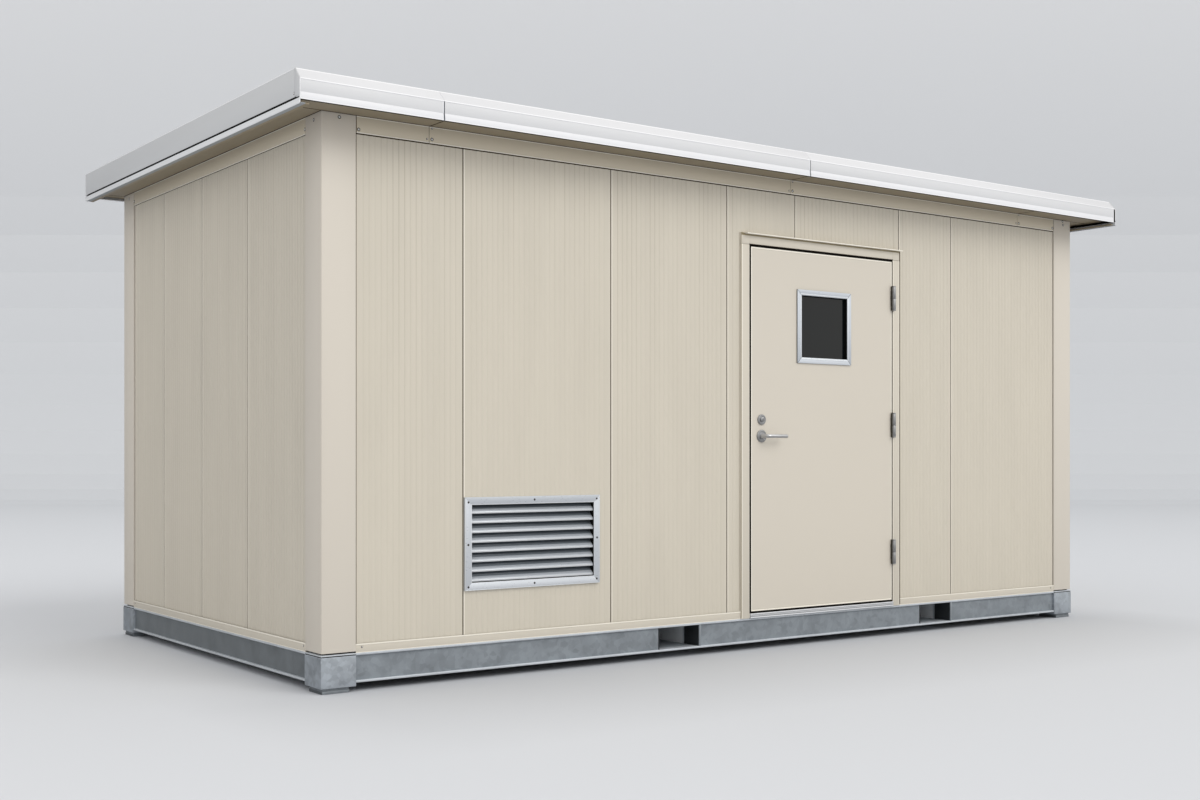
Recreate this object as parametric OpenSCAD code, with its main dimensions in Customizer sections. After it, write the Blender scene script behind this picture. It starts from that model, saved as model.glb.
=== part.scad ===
// Prefabricated substation building: an insulated panel enclosure on a steel skid.
// Millimetres, +Z up. The origin is on the ground under the middle of the roof.
// The modules work in the wall frame: x from the left corner along the front,
// y from the face of the front posts to the back, z up from the ground.

/* [Walls] */
// Length over the corner posts
body_l = 5510; // [5400:10:7000]
// Depth over the corner posts
body_w = 2790; // [2600:10:3200]
// Height of the corner posts
post_h = 2486; // [2440:2:2900]
// Width of each face of a corner post
post_w = 175; // [150:1:200]
// Shadow gap between a post's foot and its corner block
post_gap = 12; // [6:1:20]
// Thickness of the insulated wall panels
panel_t = 60; // [50:1:90]
// How far the panel faces sit behind the post faces
panel_set = 8; // [6:0.5:12]
// Joint between two neighbouring panels
joint_gap = 0.6; // [0.4:0.1:2]
// Width of the first front bay, from the left post
bay_1_w = 579; // [520:1:640]
// Width of the louvred front bay
bay_2_w = 896; // [860:1:960]
// Width of the third front bay
bay_3_w = 801; // [700:1:850]
// Width of the front bay that reaches over the door's lock side
bay_4_w = 517; // [300:1:700]
// Width of the front bay beside the door's hinges; the last bay takes up the rest
bay_5_w = 477; // [300:1:560]
// Width of the first side bay, from the front post
side_bay_1_w = 705; // [600:1:750]
// Width of the second side bay
side_bay_2_w = 630; // [500:1:700]
// Width of the third side bay
side_bay_3_w = 593; // [450:1:650]
// Number of panels in the back wall
back_bays = 6; // [4:1:8]

/* [Trims] */
// Height of the trim along the foot of the walls
base_trim_h = 42; // [30:1:60]
// Height of the trim under the roof
top_trim_h = 80; // [60:1:110]
// Thickness of the foot and top trims
trim_t = 6; // [3:0.5:8]

/* [Skid] */
// Side of the square corner blocks
block_size = 178; // [160:1:200]
// Height of the corner blocks
block_h = 154; // [140:1:180]
// How far the corner blocks stand out past the posts
block_proud = 4; // [0:0.5:8]
// Side of the square foot pads
foot_size = 138; // [110:1:150]
// Thickness of the foot pads
foot_h = 26; // [15:1:40]
// How far the foot pads sit in from the block faces
foot_inset = 10; // [5:1:20]
// Height of the channel rails
rail_h = 138; // [120:1:140]
// How far the web sits behind the flange edges
web_set = 58; // [40:1:70]
// Thickness of the rail webs
web_t = 8; // [6:0.5:12]
// Thickness of the rail flanges
flange_t = 11; // [8:0.5:14]
// Height of the floor joists
joist_h = 110; // [80:1:115]
// Width of the floor joists
joist_w = 50; // [40:1:60]
// Thickness of a joist's web and flanges
joist_t = 6; // [5:0.5:10]
// Thickness of the floor deck
deck_t = 20; // [12:1:27]

/* [Fork pockets] */
// How far the pair of fork pockets lies right of the middle of the length
pocket_shift = 382.5; // [250:0.5:450]
// Distance between the middles of the two fork pockets
pocket_pitch = 2055; // [1700:1:2100]
// Clear width of a fork pocket
pocket_w = 275; // [240:1:300]
// Thickness of the pocket side plates
pocket_plate_t = 12; // [8:0.5:14]
// How far the side plates' outer edges sit behind the rail's flange edges
pocket_set = 2; // [0:0.5:20]
// How far the side plates reach in past the rail
pocket_throat = 80; // [60:1:200]
// Thickness of the lining between the side plates
lining_t = 5; // [3:0.5:8]
// Clear space between a pocket's side plate and the joist beside it
pocket_joist_gap = 45; // [20:1:80]

/* [Roof] */
// Overhang past the front posts
eave_front = 214; // [180:1:300]
// Overhang past the back posts
eave_back = 103; // [90:1:200]
// Overhang past the side posts
eave_side = 205; // [180:1:300]
// Height of the roof above the soffit
roof_h = 130; // [110:1:160]
// Rise of the sloped edge flashing
slope_rise = 53; // [30:1:60]
// Run of the sloped edge flashing
slope_run = 49; // [25:1:60]
// Width of the flat flange on top of the roof
flange_w = 90; // [60:1:120]
// Thickness of the roof sheets
sheet_t = 3; // [2:0.5:4]
// How far the front fascia hangs below the soffit
fascia_drop = 16; // [15:1:30]
// Height of the lower band of the front fascia
band_h = 33; // [25:1:50]
// How far the lower band stands out
band_out = 3; // [2:0.5:6]
// Width of the return along the fascia's lower edge
lip_w = 22; // [12:1:35]
// How far the side drip rails hang below the soffit
drip_drop = 37; // [30:1:50]
// Width of the side drip rails
drip_w = 48; // [35:1:70]
// Height of the dark slot over the side drip rails
slot_h = 8; // [5:1:12]
// Depth of that slot
slot_d = 14; // [8:1:25]
// Open slot at the right end of the front fascia
end_slot = 16; // [6:1:24]
// First splice of the front fascia, from the left corner
splice_1_x = 524; // [300:1:900]
// Second splice of the front fascia, from the left corner
splice_2_x = 2879; // [2500:1:3300]
// Gap at a fascia splice
splice_gap = 2; // [1:0.5:4]
// Height of the ribs on the roof sheet
rib_h = 20; // [10:1:30]
// Distance between the ribs on the roof sheet
rib_pitch = 333; // [250:1:400]
// Width of a rib's top
rib_top = 24; // [16:1:40]

/* [Door] */
// Panel between the third joint and the door frame
door_strip_w = 95; // [60:1:140]
// Width of the door leaf
leaf_w = 1144; // [1000:1:1200]
// Height of the door leaf
leaf_h = 2061; // [1950:1:2100]
// Thickness of the door leaf
leaf_t = 45; // [40:1:50]
// Gap round the leaf
leaf_gap = 8; // [6:0.5:10]
// Clearance behind the leaf and over the sill
stop_gap = 6; // [5.5:0.5:8]
// Face width of the door frame
frame_w = 64; // [50:1:80]
// How far the frame face stands out past the panels
frame_proud = 12; // [8:0.5:14]
// How far the leaf face sits behind the frame face
leaf_back = 2; // [0:0.5:4]
// How far the stop reaches behind the leaf
stop_w = 15; // [10:1:20]
// Height of the sill over the skid
sill_h = 27; // [18:1:34]
// How far the sill stands out past the posts
sill_out = 10; // [4:1:20]
// Projection of the drip hood from the frame face
hood_d = 24; // [15:1:40]
// Thickness of the drip hood
hood_t = 8; // [5:0.5:12]

/* [Vision panel] */
// Outer width of the vision panel frame
vision_w = 435; // [350:1:500]
// Outer height of the vision panel frame
vision_h = 425; // [350:1:500]
// Middle of the vision panel above the leaf's bottom
vision_z = 1628; // [1550:1:1680]
// Width of the vision panel frame's bars
vision_bar = 33; // [25:1:45]
// How far the vision frames stand out from the leaf
vision_proud = 8; // [4:0.5:12]
// Thickness of the glass unit
glass_t = 20; // [10:1:24]
// Thickness of the sleeve that lines the cut in the leaf
sleeve_t = 3; // [2:0.5:5]

/* [Hinges] */
// Radius of the hinge barrels
barrel_r = 12.5; // [10:0.5:13]
// Height of one hinge
hinge_h = 150; // [120:1:180]
// Clearance between a barrel and the leaf face
barrel_gap = 2; // [1.5:0.5:4]
// Middle of the lowest hinge above the leaf's bottom
hinge_low = 296; // [150:1:400]
// Middle of the highest hinge below the leaf's top
hinge_high = 227; // [150:1:400]
// Radius of the hinge pins
pin_r = 6; // [5:0.5:7]
// Radial running clearance of pins and spindles
run_gap = 0.05; // [0.02:0.01:0.1]
// Thickness of the hinge plates
plate_t = 2.5; // [2:0.5:3]
// Gap between the two barrels of a hinge
barrel_joint = 0.5; // [0.3:0.1:1]

/* [Lever and lock] */
// Distance from the leaf's free edge to the lever's axis
backset = 81; // [60:1:90]
// Height of the lever's axis above the leaf's bottom
lever_z = 992; // [900:1:1050]
// Height of the lock's middle above the lever's axis
lock_rise = 93; // [80:1:120]
// Radius of the lever's roses
lever_rose_r = 34; // [26:0.5:38]
// Radius of the lock's roses
lock_rose_r = 29; // [22:0.5:32]
// Thickness of the round roses
rose_t = 9; // [6:0.5:12]
// Radius of the lever bar and its neck
bar_r = 11; // [8:0.5:12]
// Length of the lever from its axis to its tip
lever_l = 150; // [120:1:170]
// Distance from the leaf face to the middle of the lever bar
lever_off = 52; // [45:1:70]
// Radius of the lock cylinder
cylinder_r = 14; // [11:0.5:16]
// How far the lock cylinder stands out from its rose
cylinder_out = 5; // [2:0.5:8]
// Clearance round the lock cylinder
cylinder_gap = 0.3; // [0.1:0.1:0.5]
// Clearance round the lever's spindle inside the leaf
spindle_gap = 2; // [0.5:0.5:4]

/* [Louvre] */
// Distance from the first joint to the louvre frame
louvre_off = 4; // [2:1:20]
// Width of the louvre frame
louvre_w = 811; // [700:1:830]
// Height of the louvre frame
louvre_h = 457; // [400:1:600]
// Bottom of the louvre frame above the ground
louvre_z = 436; // [350:1:600]
// Width of the louvre frame's bars
louvre_bar = 38; // [25:1:45]
// How far the louvre frame stands out from the panel
louvre_proud = 14; // [8:0.5:18]
// Depth of the louvre's sleeve into the wall
louvre_sleeve = 40; // [30:1:48]
// Number of louvre blades
blade_count = 8; // [6:1:10]
// Thickness of the louvre blades
blade_t = 3; // [2:0.5:4]
// Angle of the louvre blades below level
blade_angle = 42; // [30:1:48]

/* [Hidden] */
$fn = 48;
// Small overlap for cuts that run past a face
cut = 1;

// Heights above the ground
skid_top = foot_h + block_h;
rail_bottom = skid_top - rail_h;
base_top = skid_top + post_gap;
soffit_z = base_top + post_h;
roof_top = soffit_z + roof_h;
slope_foot = roof_top - slope_rise;
rib_top_z = roof_top - sheet_t;
pan_z = rib_top_z - rib_h;
core_top = pan_z - sheet_t;
floor_z = skid_top + deck_t;
drip_bottom = soffit_z - drip_drop;
drip_top = soffit_z - slot_h - sheet_t;
fascia_foot = soffit_z - fascia_drop;
leaf_z0 = skid_top + sill_h + stop_gap;
leaf_z1 = leaf_z0 + leaf_h;
head_z0 = leaf_z1 + leaf_gap;
head_z1 = head_z0 + frame_w;

// Wall planes, from the front post face inwards
wall_in = panel_set + panel_t;
web_in = web_set + web_t;

// Places along the front, from the left corner
joint_1 = post_w + bay_1_w;
joint_2 = joint_1 + bay_2_w;
joint_3 = joint_2 + bay_3_w;
joint_4 = joint_3 + bay_4_w;
frame_x0 = joint_3 + door_strip_w;
leaf_x0 = frame_x0 + frame_w + leaf_gap;
leaf_x1 = leaf_x0 + leaf_w;
frame_x1 = leaf_x1 + leaf_gap + frame_w;
joint_5 = frame_x1 + bay_5_w;
leaf_mid = (leaf_x0 + leaf_x1) / 2;
pocket_1_x = body_l / 2 + pocket_shift - pocket_pitch / 2;
pockets = [pocket_1_x, pocket_1_x + pocket_pitch];
pocket_half = pocket_w / 2 + pocket_plate_t;
side_joints = [
    post_w,
    post_w + side_bay_1_w,
    post_w + side_bay_1_w + side_bay_2_w,
    post_w + side_bay_1_w + side_bay_2_w + side_bay_3_w,
    body_w - post_w
];

// Door planes, from the front post face inwards
frame_y0 = panel_set - frame_proud;
leaf_y0 = frame_y0 + leaf_back;
leaf_y1 = leaf_y0 + leaf_t;
stop_y0 = leaf_y1 + stop_gap;

// Hinge axis: in the gap beside the leaf and in front of its face
hinge_x = leaf_x1 + leaf_gap / 2;
hinge_y = leaf_y0 - barrel_gap - barrel_r;
hinge_z = [
    leaf_z0 + hinge_low,
    (leaf_z0 + hinge_low + leaf_z1 - hinge_high) / 2,
    leaf_z1 - hinge_high
];

// Lever and lock
lever_x = leaf_x0 + backset;
lever_axis_z = leaf_z0 + lever_z;
lock_z = lever_axis_z + lock_rise;

// Louvre opening
louvre_x0 = joint_1 + louvre_off;
vent_w = louvre_w - 2 * louvre_bar;
vent_h = louvre_h - 2 * louvre_bar;
blade_pitch = vent_h / blade_count;

// Roof outline in the wall frame
roof_w = body_w + eave_front + eave_back;
origin_y = roof_w / 2 - eave_front;

// How far the flat flanges reach in from the roof's edge
edge_in = slope_run + flange_w;
// Inner face of the left side plate, which the long fascias run up to
side_face = -eave_side + band_out + sheet_t;

paint = [0.82, 0.79, 0.73];
roof_white = [0.93, 0.93, 0.94];
galvanised = [0.58, 0.61, 0.64];
stainless = [0.66, 0.66, 0.67];
aluminium = [0.76, 0.78, 0.80];

// Moves children from the wall frame to the part's own frame.
module wall_frame() {
    translate([-body_l / 2, -origin_y, 0]) children();
}

// Repeats children mirrored about the middle of the building's length.
module left_and_right() {
    children();
    translate([body_l, 0, 0]) mirror([1, 0, 0]) children();
}

// Repeats children mirrored about the middle of the building's depth.
module front_and_back() {
    children();
    translate([0, body_w, 0]) mirror([0, 1, 0]) children();
}

// A box from its lowest corner to its highest corner.
module block(low, high) {
    translate(low) cube(high - low);
}

// Extrudes a profile drawn as (distance inwards, height) along x.
module along_x(x0, x1) {
    translate([x0, 0, 0]) rotate([90, 0, 90]) linear_extrude(x1 - x0) children();
}

// Extrudes a profile drawn as (distance inwards, height) along y, from y1 back to y0.
module along_y(y0, y1) {
    translate([0, y1, 0]) rotate([90, 0, 0]) linear_extrude(y1 - y0) children();
}

// Upright L section in the front left corner, both legs as wide and as thick as given.
module corner_section(outer, width, thick, z0, z1) {
    translate([0, 0, z0]) linear_extrude(z1 - z0) polygon([
        [outer, outer], [width, outer], [width, thick],
        [thick, thick], [thick, width], [outer, width]
    ]);
}

module corner_feet() color(galvanised) wall_frame() {
    inset = foot_inset - block_proud;
    front_and_back() left_and_right()
        block([inset, inset, 0], [inset + foot_size, inset + foot_size, foot_h]);
}

module corner_blocks() color(galvanised) wall_frame() {
    far = block_size - block_proud;
    front_and_back() left_and_right()
        block([-block_proud, -block_proud, foot_h], [far, far, skid_top]);
}

// Each rail is an outward-facing channel between two corner blocks.
rail_end = block_size - block_proud;

// Bottom and top flange of one rail, as (distance inwards, height).
module flange_pair() {
    translate([0, rail_bottom]) square([web_in, flange_t]);
    translate([0, skid_top - flange_t]) square([web_in, flange_t]);
}

// Web of one rail, between its flanges.
module web_profile() {
    translate([web_set, rail_bottom + flange_t]) square([web_t, rail_h - 2 * flange_t]);
}

module skid_flanges() color(galvanised) wall_frame() {
    front_and_back() along_x(rail_end, body_l - rail_end) flange_pair();
    left_and_right() along_y(rail_end, body_w - rail_end) flange_pair();
}

// Webs: the front and back ones are left open at the fork pockets.
module skid_webs() color(galvanised) wall_frame() {
    starts = [rail_end, pockets[0] + pocket_half, pockets[1] + pocket_half];
    ends = [pockets[0] - pocket_half, pockets[1] - pocket_half, body_l - rail_end];
    front_and_back() for (i = [0 : 2]) along_x(starts[i], ends[i]) web_profile();
    left_and_right() along_y(rail_end, body_w - rail_end) web_profile();
}

// Joist as a channel, open towards larger x.
module joist(x) {
    z0 = skid_top - joist_h;
    along_y(web_in, body_w - web_in) translate([x, 0]) polygon([
        [0, z0], [joist_w, z0], [joist_w, z0 + joist_t], [joist_t, z0 + joist_t],
        [joist_t, skid_top - joist_t], [joist_w, skid_top - joist_t],
        [joist_w, skid_top], [0, skid_top]
    ]);
}

// Left edges of the joists: one beside each pocket side and the rest spread between.
pocket_side = pocket_half + pocket_joist_gap;
first_joist = block_size + joist_w;
mid_span = pocket_pitch - 2 * pocket_side;
joist_places = [
    first_joist,
    (2 * first_joist + pockets[0] - pocket_side) / 3,
    (first_joist + 2 * (pockets[0] - pocket_side)) / 3,
    pockets[0] - pocket_side - joist_w,
    pockets[0] + pocket_side,
    pockets[0] + pocket_side + mid_span / 3,
    pockets[0] + pocket_side + 2 * mid_span / 3,
    pockets[1] - pocket_side - joist_w,
    pockets[1] + pocket_side,
    (pockets[1] + pocket_side + body_l - first_joist - joist_w) / 2,
    body_l - first_joist - joist_w
];

module floor_joists() color(galvanised) wall_frame() {
    for (x = joist_places) joist(x);
}

// Floor plate of each fork pocket, right through between the rails.
module fork_pocket_floors() color(galvanised) wall_frame() {
    for (x = pockets)
        block(
            [x - pocket_half, web_in, rail_bottom],
            [x + pocket_half, body_w - web_in, rail_bottom + flange_t]
        );
}

// Sides of one pocket, left of its middle: a thick plate at each end and the lining
// that joins them.
module pocket_side_plates() {
    z0 = rail_bottom + flange_t;
    z1 = skid_top - flange_t;
    x1 = -pocket_w / 2;
    y1 = web_in + pocket_throat;
    front_and_back() block([x1 - pocket_plate_t, pocket_set, z0], [x1, y1, z1]);
    block([x1 - lining_t, y1, z0], [x1, body_w - y1, z1]);
}

module fork_pocket_sides() color(galvanised) wall_frame() {
    for (x = pockets) translate([x, 0, 0]) {
        pocket_side_plates();
        mirror([1, 0, 0]) pocket_side_plates();
    }
}

module floor_deck() color([0.45, 0.46, 0.47]) wall_frame()
    block([wall_in, wall_in, skid_top], [body_l - wall_in, body_w - wall_in, floor_z]);

module post_base_plates() color([0.2, 0.2, 0.2]) wall_frame()
    front_and_back() left_and_right()
        corner_section(2 * panel_set, post_w - panel_set, wall_in, skid_top, base_top);

module corner_posts() color(paint) wall_frame()
    front_and_back() left_and_right()
        corner_section(0, post_w, wall_in, base_top, soffit_z);

// Full-height front panel between two joints.
module front_panel(x0, x1) {
    block(
        [x0 + joint_gap / 2, panel_set, skid_top],
        [x1 - joint_gap / 2, wall_in, soffit_z]
    );
}

module front_panel_1() color(paint) wall_frame()
    front_panel(post_w - joint_gap / 2, joint_1);

module front_panel_2() color(paint) wall_frame() {
    x0 = louvre_x0 + louvre_bar - sleeve_t;
    z0 = louvre_z + louvre_bar - sleeve_t;
    difference() {
        front_panel(joint_1, joint_2);
        block(
            [x0, panel_set - cut, z0],
            [x0 + vent_w + 2 * sleeve_t, wall_in + cut, z0 + vent_h + 2 * sleeve_t]
        );
    }
}

module front_panel_3() color(paint) wall_frame()
    front_panel(joint_2, joint_3);

// Narrow strip beside the door, reaching over the lock side of the doorway.
module front_panel_4() color(paint) wall_frame()
    difference() {
        front_panel(joint_3, joint_4);
        block([frame_x0, panel_set - cut, skid_top - cut], [joint_4 + cut, wall_in + cut, head_z1]);
    }

module door_head_panel() color(paint) wall_frame()
    block(
        [joint_4 + joint_gap / 2, panel_set, head_z1],
        [frame_x1 - joint_gap, wall_in, soffit_z]
    );

module front_panel_5() color(paint) wall_frame()
    front_panel(frame_x1 - joint_gap / 2, joint_5);

module front_panel_6() color(paint) wall_frame()
    front_panel(joint_5, body_l - post_w + joint_gap / 2);

// Panels of one side wall, split at the side joints.
module side_panels() {
    last = len(side_joints) - 2;
    for (i = [0 : last])
        block(
            [panel_set, side_joints[i] + (i > 0 ? joint_gap / 2 : 0), skid_top],
            [wall_in, side_joints[i + 1] - (i < last ? joint_gap / 2 : 0), soffit_z]
        );
}

module left_wall_panels() color(paint) wall_frame() side_panels();

module right_wall_panels() color(paint) wall_frame()
    translate([body_l, 0, 0]) mirror([1, 0, 0]) side_panels();

// Equal back panels, with the joints between them on whole millimetres.
module back_wall_panels() color(paint) wall_frame() {
    bay = (body_l - 2 * post_w) / back_bays;
    inner = [for (i = [1 : 1 : back_bays - 1]) round(post_w + i * bay)];
    starts = concat([post_w], [for (x = inner) x + joint_gap / 2]);
    ends = concat([for (x = inner) x - joint_gap / 2], [body_l - post_w]);
    for (i = [0 : back_bays - 1])
        block([starts[i], body_w - wall_in, skid_top], [ends[i], body_w - panel_set, soffit_z]);
}

// Strip of trim on the front panels.
module front_strip(x0, x1, z0, z1) {
    block([x0, panel_set - trim_t, z0], [x1, panel_set, z1]);
}

// Strip of trim on a side wall.
module side_strip(z0, z1) {
    block([panel_set - trim_t, post_w, z0], [panel_set, body_w - post_w, z1]);
}

module base_trims() color(paint) wall_frame() {
    z1 = skid_top + base_trim_h;
    front_strip(post_w, frame_x0, skid_top, z1);
    front_strip(frame_x1, body_l - post_w, skid_top, z1);
    left_and_right() side_strip(skid_top, z1);
    translate([0, body_w, 0]) mirror([0, 1, 0])
        front_strip(post_w, body_l - post_w, skid_top, z1);
}

module top_trims() color(paint) wall_frame() {
    z0 = soffit_z - top_trim_h;
    front_and_back() front_strip(post_w, body_l - post_w, z0, soffit_z);
    left_and_right() side_strip(z0, soffit_z);
}

// Insulated slab: its underside is the room's ceiling and backs the soffit sheets.
module roof_core() color(roof_white) wall_frame() {
    in = slot_d;
    block([0, 0, soffit_z], [body_l, body_w, soffit_z + 2 * sheet_t]);
    block(
        [-eave_side + in, -eave_front + in, soffit_z + sheet_t],
        [body_l + eave_side - in, body_w + eave_back - in, slope_foot - sheet_t]
    );
    block(
        [-eave_side + slope_run + in, -eave_front + slope_run + in, slope_foot - 2 * sheet_t],
        [
            body_l + eave_side - slope_run - in,
            body_w + eave_back - slope_run - in,
            core_top
        ]
    );
}

// Roof sheet: its pan, and its ribs, of which the outer two carry the side flashings.
rib_foot = rib_top + rib_h;
deck_in = slope_run + slot_d;
first_rib = -eave_side + edge_in - rib_foot / 2;
rib_span = body_l - 2 * first_rib;
rib_bays = round(rib_span / rib_pitch);

module roof_deck() color(roof_white) wall_frame()
    block(
        [-eave_side + deck_in, -eave_front + deck_in, core_top],
        [body_l + eave_side - deck_in, body_w + eave_back - deck_in, pan_z]
    );

module roof_ribs() color(roof_white) wall_frame()
    for (i = [0 : rib_bays])
        translate([first_rib + i * rib_span / rib_bays, 0, 0])
            along_y(-eave_front + deck_in, body_w + eave_back - deck_in)
                polygon([
                    [-rib_foot / 2, pan_z], [rib_foot / 2, pan_z],
                    [rib_top / 2, rib_top_z], [-rib_top / 2, rib_top_z]
                ]);

// Soffit: full-length sheets at the front and back, side sheets between them.
module soffit_sheets() color(paint) wall_frame() {
    seam = splice_gap;
    x0 = -eave_side + slot_d;
    z1 = soffit_z + sheet_t;
    block([x0, -eave_front + slot_d, soffit_z], [body_l - x0, -seam, z1]);
    block([x0, body_w + seam, soffit_z], [body_l - x0, body_w + eave_back - slot_d, z1]);
    left_and_right() block([x0, 0, soffit_z], [-seam, body_w, z1]);
}

// Upright face of an edge sheet, as (distance inwards from the roof's edge, height).
module face_profile(z1) {
    z0 = fascia_foot + band_h - cut;
    translate([band_out, z0]) square([sheet_t, z1 - z0]);
}

// Sloped flashing over the front face, with the flat flange behind it.
module slope_profile() {
    polygon([
        [band_out, slope_foot - sheet_t], [band_out, slope_foot],
        [band_out + slope_run, roof_top], [edge_in, roof_top],
        [edge_in, rib_top_z], [band_out + slope_run + sheet_t / 2, rib_top_z],
        [band_out + sheet_t, slope_foot - sheet_t / 2], [band_out + sheet_t, slope_foot - sheet_t]
    ]);
}

// Lower band of the front and back fascias with its return.
module band_profile() {
    z1 = fascia_foot + band_h;
    polygon([
        [0, fascia_foot], [lip_w, fascia_foot], [lip_w, fascia_foot + sheet_t],
        [sheet_t, fascia_foot + sheet_t], [sheet_t, z1 - band_out], [band_out + sheet_t, z1],
        [band_out, z1], [0, z1 - band_out]
    ]);
}

// Length of the front fascia between two places.
module front_length(x0, x1) {
    low_x1 = min(x1, body_l - side_face - end_slot);
    translate([0, -eave_front, 0]) {
        along_x(x0, low_x1) band_profile();
        along_x(x0, low_x1) face_profile(slope_foot - sheet_t);
        along_x(x0, x1) slope_profile();
    }
}

module front_fascia() color(roof_white) wall_frame() {
    half = splice_gap / 2;
    front_length(side_face, splice_1_x - half);
    front_length(splice_1_x + half, splice_2_x - half);
    front_length(splice_2_x + half, body_l - side_face);
}

// Back fascia: upright to the top, with a flat flange.
module back_fascia() color(roof_white) wall_frame()
    translate([0, body_w + eave_back, 0]) mirror([0, 1, 0])
        along_x(side_face, body_l - side_face) {
            band_profile();
            face_profile(roof_top);
            translate([band_out, rib_top_z]) square([edge_in - band_out, sheet_t]);
        }

// Side plate upright to the top, its front end cut to the front slope, with a flat
// flange between those of the front and the back.
module left_fascia() color(roof_white) wall_frame() {
    z0 = drip_top + slot_h;
    back = body_w + eave_back;
    along_x(side_face - sheet_t, side_face) polygon([
        [-eave_front, z0], [back, z0], [back, roof_top],
        [-eave_front + slope_run, roof_top], [-eave_front, slope_foot]
    ]);
    block(
        [side_face - sheet_t, -eave_front + edge_in, rib_top_z],
        [-eave_side + edge_in, back - edge_in, roof_top]
    );
}

module right_fascia() color(roof_white)
    mirror([1, 0, 0]) left_fascia();

// Drip rail under a side fascia: its face and return run full length, and the ledge
// that hangs it from the soffit stops behind the front and back fascias.
module drip_rail() {
    ledge_end = lip_w + slot_d;
    along_y(-eave_front, body_w + eave_back) polygon([
        [0, drip_bottom], [drip_w, drip_bottom], [drip_w, drip_bottom + 3 * sheet_t],
        [drip_w - sheet_t, drip_bottom + 3 * sheet_t],
        [drip_w - sheet_t, drip_bottom + sheet_t], [sheet_t, drip_bottom + sheet_t],
        [sheet_t, drip_top], [0, drip_top]
    ]);
    along_y(-eave_front + ledge_end, body_w + eave_back - ledge_end) polygon([
        [0, drip_top - sheet_t], [slot_d + sheet_t, drip_top - sheet_t],
        [slot_d + sheet_t, soffit_z], [slot_d, soffit_z], [slot_d, drip_top], [0, drip_top]
    ]);
}

module side_drip_rails() color(roof_white) wall_frame()
    left_and_right() translate([-eave_side, 0, 0]) drip_rail();

// Jamb in plan: the frame's face and body, with a stop behind the leaf.
module jamb() {
    stop_x = frame_w + leaf_gap + stop_w;
    linear_extrude(head_z1 - skid_top) polygon([
        [0, frame_y0], [frame_w, frame_y0], [frame_w, stop_y0],
        [stop_x, stop_y0], [stop_x, wall_in], [0, wall_in]
    ]);
}

module door_frame() color(paint) wall_frame() {
    stop_z = leaf_z1 - stop_w;
    translate([frame_x0, 0, skid_top]) jamb();
    translate([frame_x1, 0, skid_top]) mirror([1, 0, 0]) jamb();
    along_x(frame_x0 + frame_w, frame_x1 - frame_w) polygon([
        [frame_y0, head_z0], [stop_y0, head_z0], [stop_y0, stop_z],
        [wall_in, stop_z], [wall_in, head_z1], [frame_y0, head_z1]
    ]);
}

module door_hood() color(paint) wall_frame()
    block([frame_x0, frame_y0 - hood_d, head_z1 - hood_t], [frame_x1, frame_y0, head_z1]);

module door_sill() color(aluminium) wall_frame() {
    x0 = frame_x0 + frame_w;
    x1 = frame_x1 - frame_w;
    stop = leaf_gap + stop_w;
    block([x0, -sill_out, skid_top], [x1, stop_y0, skid_top + sill_h]);
    block([x0 + stop, stop_y0, skid_top], [x1 - stop, wall_in, skid_top + sill_h]);
}

module louvre_frame() color(aluminium) wall_frame() {
    x1 = louvre_x0 + louvre_w;
    z1 = louvre_z + louvre_h;
    bar = louvre_bar;
    lip = louvre_bar - sleeve_t;
    difference() {
        union() {
            block([louvre_x0, panel_set - louvre_proud, louvre_z], [x1, panel_set, z1]);
            block(
                [louvre_x0 + lip, panel_set - cut, louvre_z + lip],
                [x1 - lip, panel_set + louvre_sleeve, z1 - lip]
            );
        }
        block(
            [louvre_x0 + bar, panel_set - louvre_proud - cut, louvre_z + bar],
            [x1 - bar, panel_set + louvre_sleeve + cut, z1 - bar]
        );
    }
}

// Blades slope down towards the outside, each over the one below.
module louvre_blades() color(aluminium) wall_frame() {
    thick = blade_t / cos(blade_angle);
    run = min(
        louvre_sleeve + louvre_proud / 2,
        (blade_pitch - thick) / tan(blade_angle)
    );
    rise = run * tan(blade_angle);
    for (i = [0 : blade_count - 1])
        along_x(louvre_x0 + louvre_bar, louvre_x0 + louvre_w - louvre_bar)
            translate([panel_set - louvre_proud / 2, louvre_z + louvre_bar + i * blade_pitch])
                polygon([[0, 0], [run, rise], [run, rise + thick], [0, thick]]);
}

// Lower barrel, pin and plate of one hinge, fixed to the frame.
module hinge_lower(z) {
    translate([hinge_x, hinge_y, z - hinge_h / 2]) {
        cylinder(r = barrel_r, h = hinge_h / 2 - barrel_joint / 2);
        cylinder(r = pin_r, h = hinge_h - barrel_r);
        translate([leaf_gap / 2 - plate_t, 0, 0])
            cube([plate_t, stop_y0 - stop_gap - hinge_y, hinge_h / 2 - barrel_joint / 2]);
    }
}

// Upper barrel and plate of one hinge, fixed to the leaf.
module hinge_upper(z) {
    difference() {
        translate([hinge_x, hinge_y, z + barrel_joint / 2]) {
            cylinder(r = barrel_r, h = hinge_h / 2 - barrel_joint / 2);
            translate([-leaf_gap / 2, 0, 0])
                cube([plate_t, leaf_y1 - hinge_y, hinge_h / 2 - barrel_joint / 2]);
        }
        translate([hinge_x, hinge_y, z - cut])
            cylinder(r = pin_r + run_gap, h = hinge_h / 2 - barrel_r + 2 * cut);
    }
}

module frame_hinges() color(stainless) wall_frame() {
    for (z = hinge_z) hinge_lower(z);
}

module leaf_hinges() color(stainless) wall_frame() {
    for (z = hinge_z) hinge_upper(z);
}

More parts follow.
